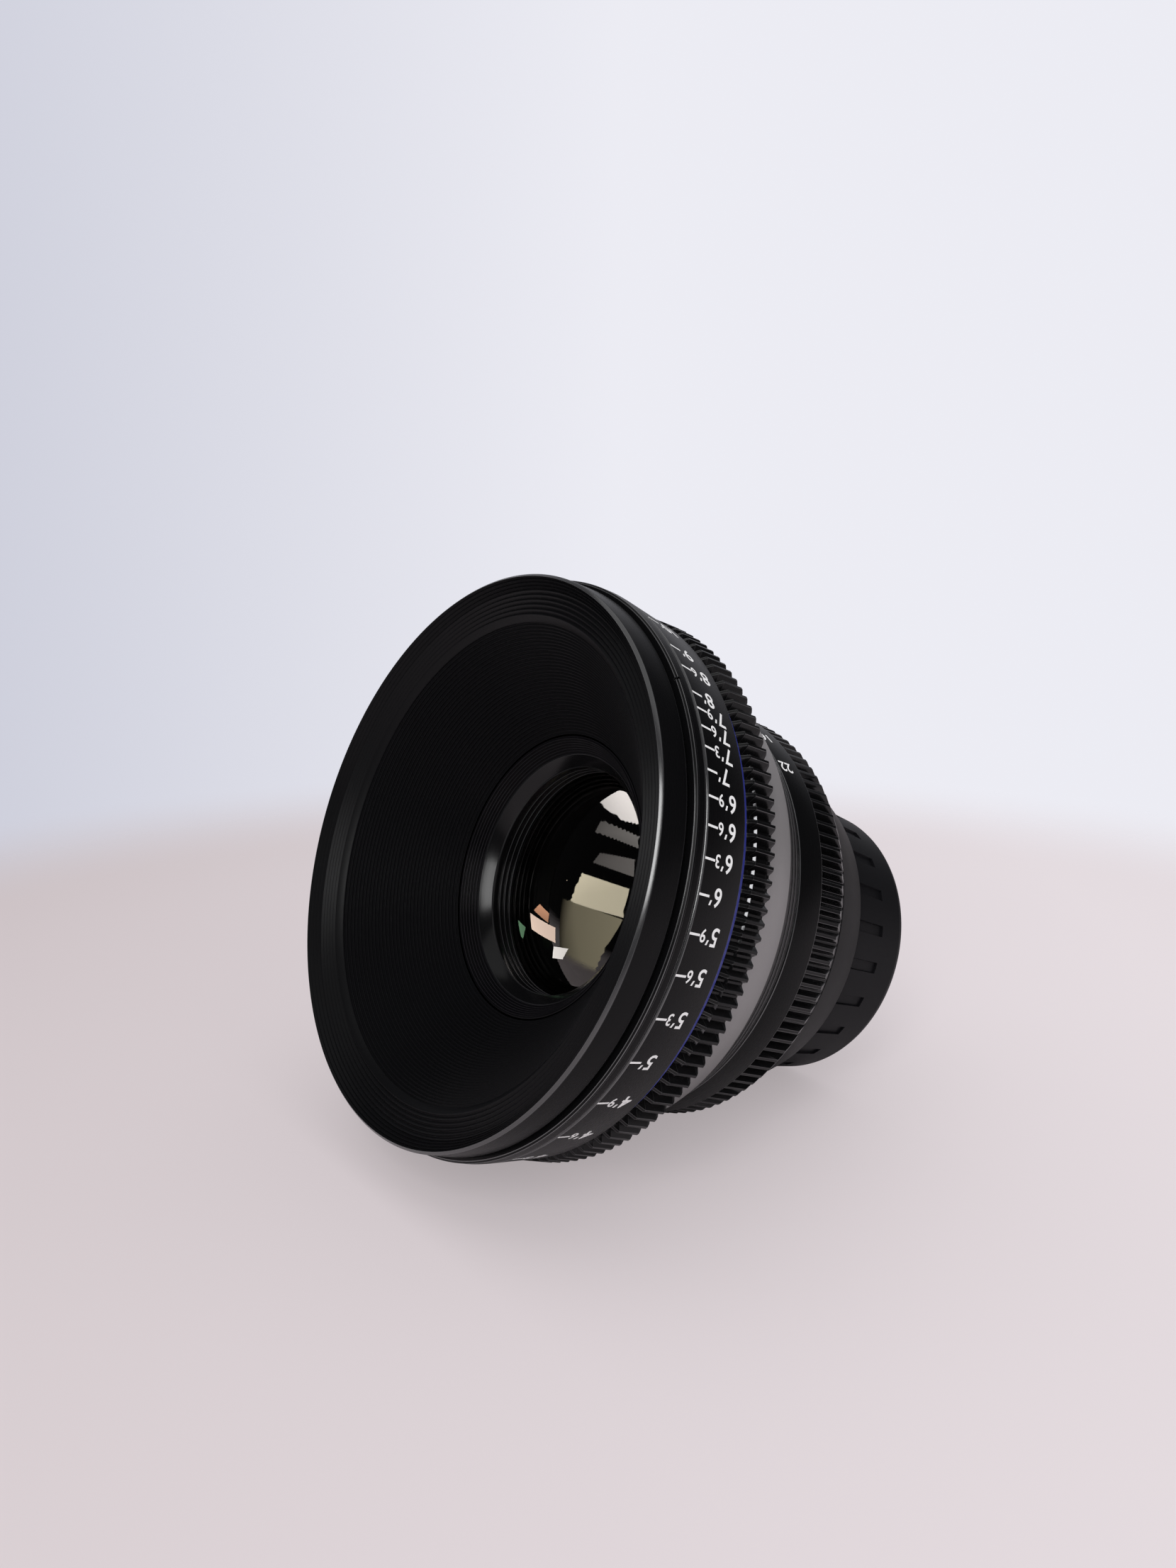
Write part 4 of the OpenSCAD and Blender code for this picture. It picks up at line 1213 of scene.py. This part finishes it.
# %% Lamps
def soft_light(name, at, aim, width, height, power):
    """Soft box that points at a place."""
    data = bpy.data.lights.new(name, "AREA")
    data.shape = "RECTANGLE"
    data.size = width
    data.size_y = height
    data.energy = power
    lamp = bpy.data.objects.new(name, data)
    lamp.location = at
    lamp.rotation_euler = (Vector(aim) - Vector(at)).to_track_quat("-Z", "Y").to_euler()
    bpy.context.scene.collection.objects.link(lamp)
    return lamp


overhead = soft_light("overhead", at=(-0.1, 0.25, 2.4), aim=(0, 0, 0.05),
                      width=2.6, height=2.6, power=12.0)
tall_window = soft_light("tall_window", at=(0.82, -0.98, 0.93), aim=(0, 0, 0.06),
                         width=0.42, height=0.9, power=9.0)
bpy.context.scene.view_settings.view_transform = "Standard"
print("lamps:", overhead.name, tall_window.name)

# %% [markdown]
# ## What the front element mirrors
# A coated element is nearly black, and what the eye sees in it is the room: a
# bright window, a pale cupboard, small squares of daylight. A whole room could
# be built for that. Instead each card below is hung where a ray from the camera
# ends up after it bounces off the glass, so the cards' corners are given as
# spots on the glass: a radius, an angle and a brightness. Only the glass sees them.

# %% Card maker
CARD_FAR, CARD_NEAR = 1.2, 0.004
glass_only = bpy.data.collections.new("glass_only")
glass_only.objects.link(front_element)
dome_centre = place(0, 0, vertex + FRONT_BEND)


def mirrored(radius, angle, far):
    """Place in the room that a spot on the front element mirrors to the camera."""
    spot = place(radius, angle, dome_z(radius))
    ray = (spot - CAMERA_AT).normalized()
    return spot + far * ray.reflect((spot - dome_centre).normalized())


def card(name, colour, strength, corners, far=CARD_FAR):
    """Glowing card that only the glass mirrors."""
    mat, tree, shader = new_material(name)
    tree.nodes.remove(shader)
    glow = make_node(tree, "ShaderNodeEmission", Strength=strength)
    level = tree.nodes.new("ShaderNodeAttribute")
    level.attribute_name = "level"
    tree.links.new(blend(tree, level.outputs["Fac"], (0, 0, 0), colour), glow.inputs["Color"])
    tree.links.new(glow.outputs["Emission"], tree.nodes["Material Output"].inputs["Surface"])
    sheet = new_piece(name, [mirrored(r, a, far) for r, a, _ in corners],
                      [tuple(range(len(corners)))], mat)
    levels = sheet.data.attributes.new("level", "FLOAT", "POINT")
    levels.data.foreach_set("value", [brightness for _, _, brightness in corners])
    sheet.visible_camera = False
    sheet.visible_diffuse = False
    sheet.visible_transmission = False
    sheet.visible_shadow = False
    sheet.light_linking.receiver_collection = glass_only
    return sheet


print("cards hang", CARD_FAR, "m or", CARD_NEAR, "m off the glass")

# %% Cards in the room
cards = [
    card("window", (1, 0.96, 0.95), 10,
         [(17.2, -89, 0.5), (24.0, -86, 0.9), (23.0, -65, 1), (20.8, -48, 1), (17.7, -59, 0.8)]),
    card("cupboard", (1, 0.92, 0.70), 6.5,
         [(4.7, 53, 0.8), (4.6, -33, 1), (17.3, -9, 0.9), (17.8, 10, 0.9)]),
    card("bare_floor", (1, 0.91, 0.64), 2.6,
         [(4.0, 90, 0), (5.3, 40, 0.5), (18.1, 11, 0.9), (22.2, 56, 0.6), (17.5, 78, 0.1)]),
    card("shelf", (1, 0.96, 0.94), 2.0,
         [(11.7, -75, 0.4), (14.3, -77, 0.4), (19.6, -42, 1), (18.9, -35, 0.8)]),
    card("shelf_below", (1, 0.95, 0.93), 1.5,
         [(7.9, -42, 0.5), (10.2, -48, 0.5), (18.2, -28, 1), (17.8, -17, 1)]),
    card("warm_square", (1, 0.52, 0.32), 4,
         [(12.8, 138, 0.7), (10.2, 138, 1), (8.5, 113, 1), (10.2, 107, 0.7)], CARD_NEAR),
    card("pale_square", (1, 0.78, 0.66), 6,
         [(14.4, 139, 0.7), (10.1, 91, 1), (13.1, 87, 1), (15.5, 126, 0.8)], CARD_NEAR),
    card("white_square", (1, 0.97, 0.95), 7,
         [(13.9, 89, 1), (14.0, 69, 1), (16.1, 77, 1), (16.3, 89, 1)], CARD_NEAR),
    card("green_square", (0.5, 1.0, 0.6), 0.8,
         [(22.5, 149, 1), (17.5, 133, 1), (19.8, 129, 1), (22.6, 141, 1)], CARD_NEAR),
]
print("cards:", len(cards))
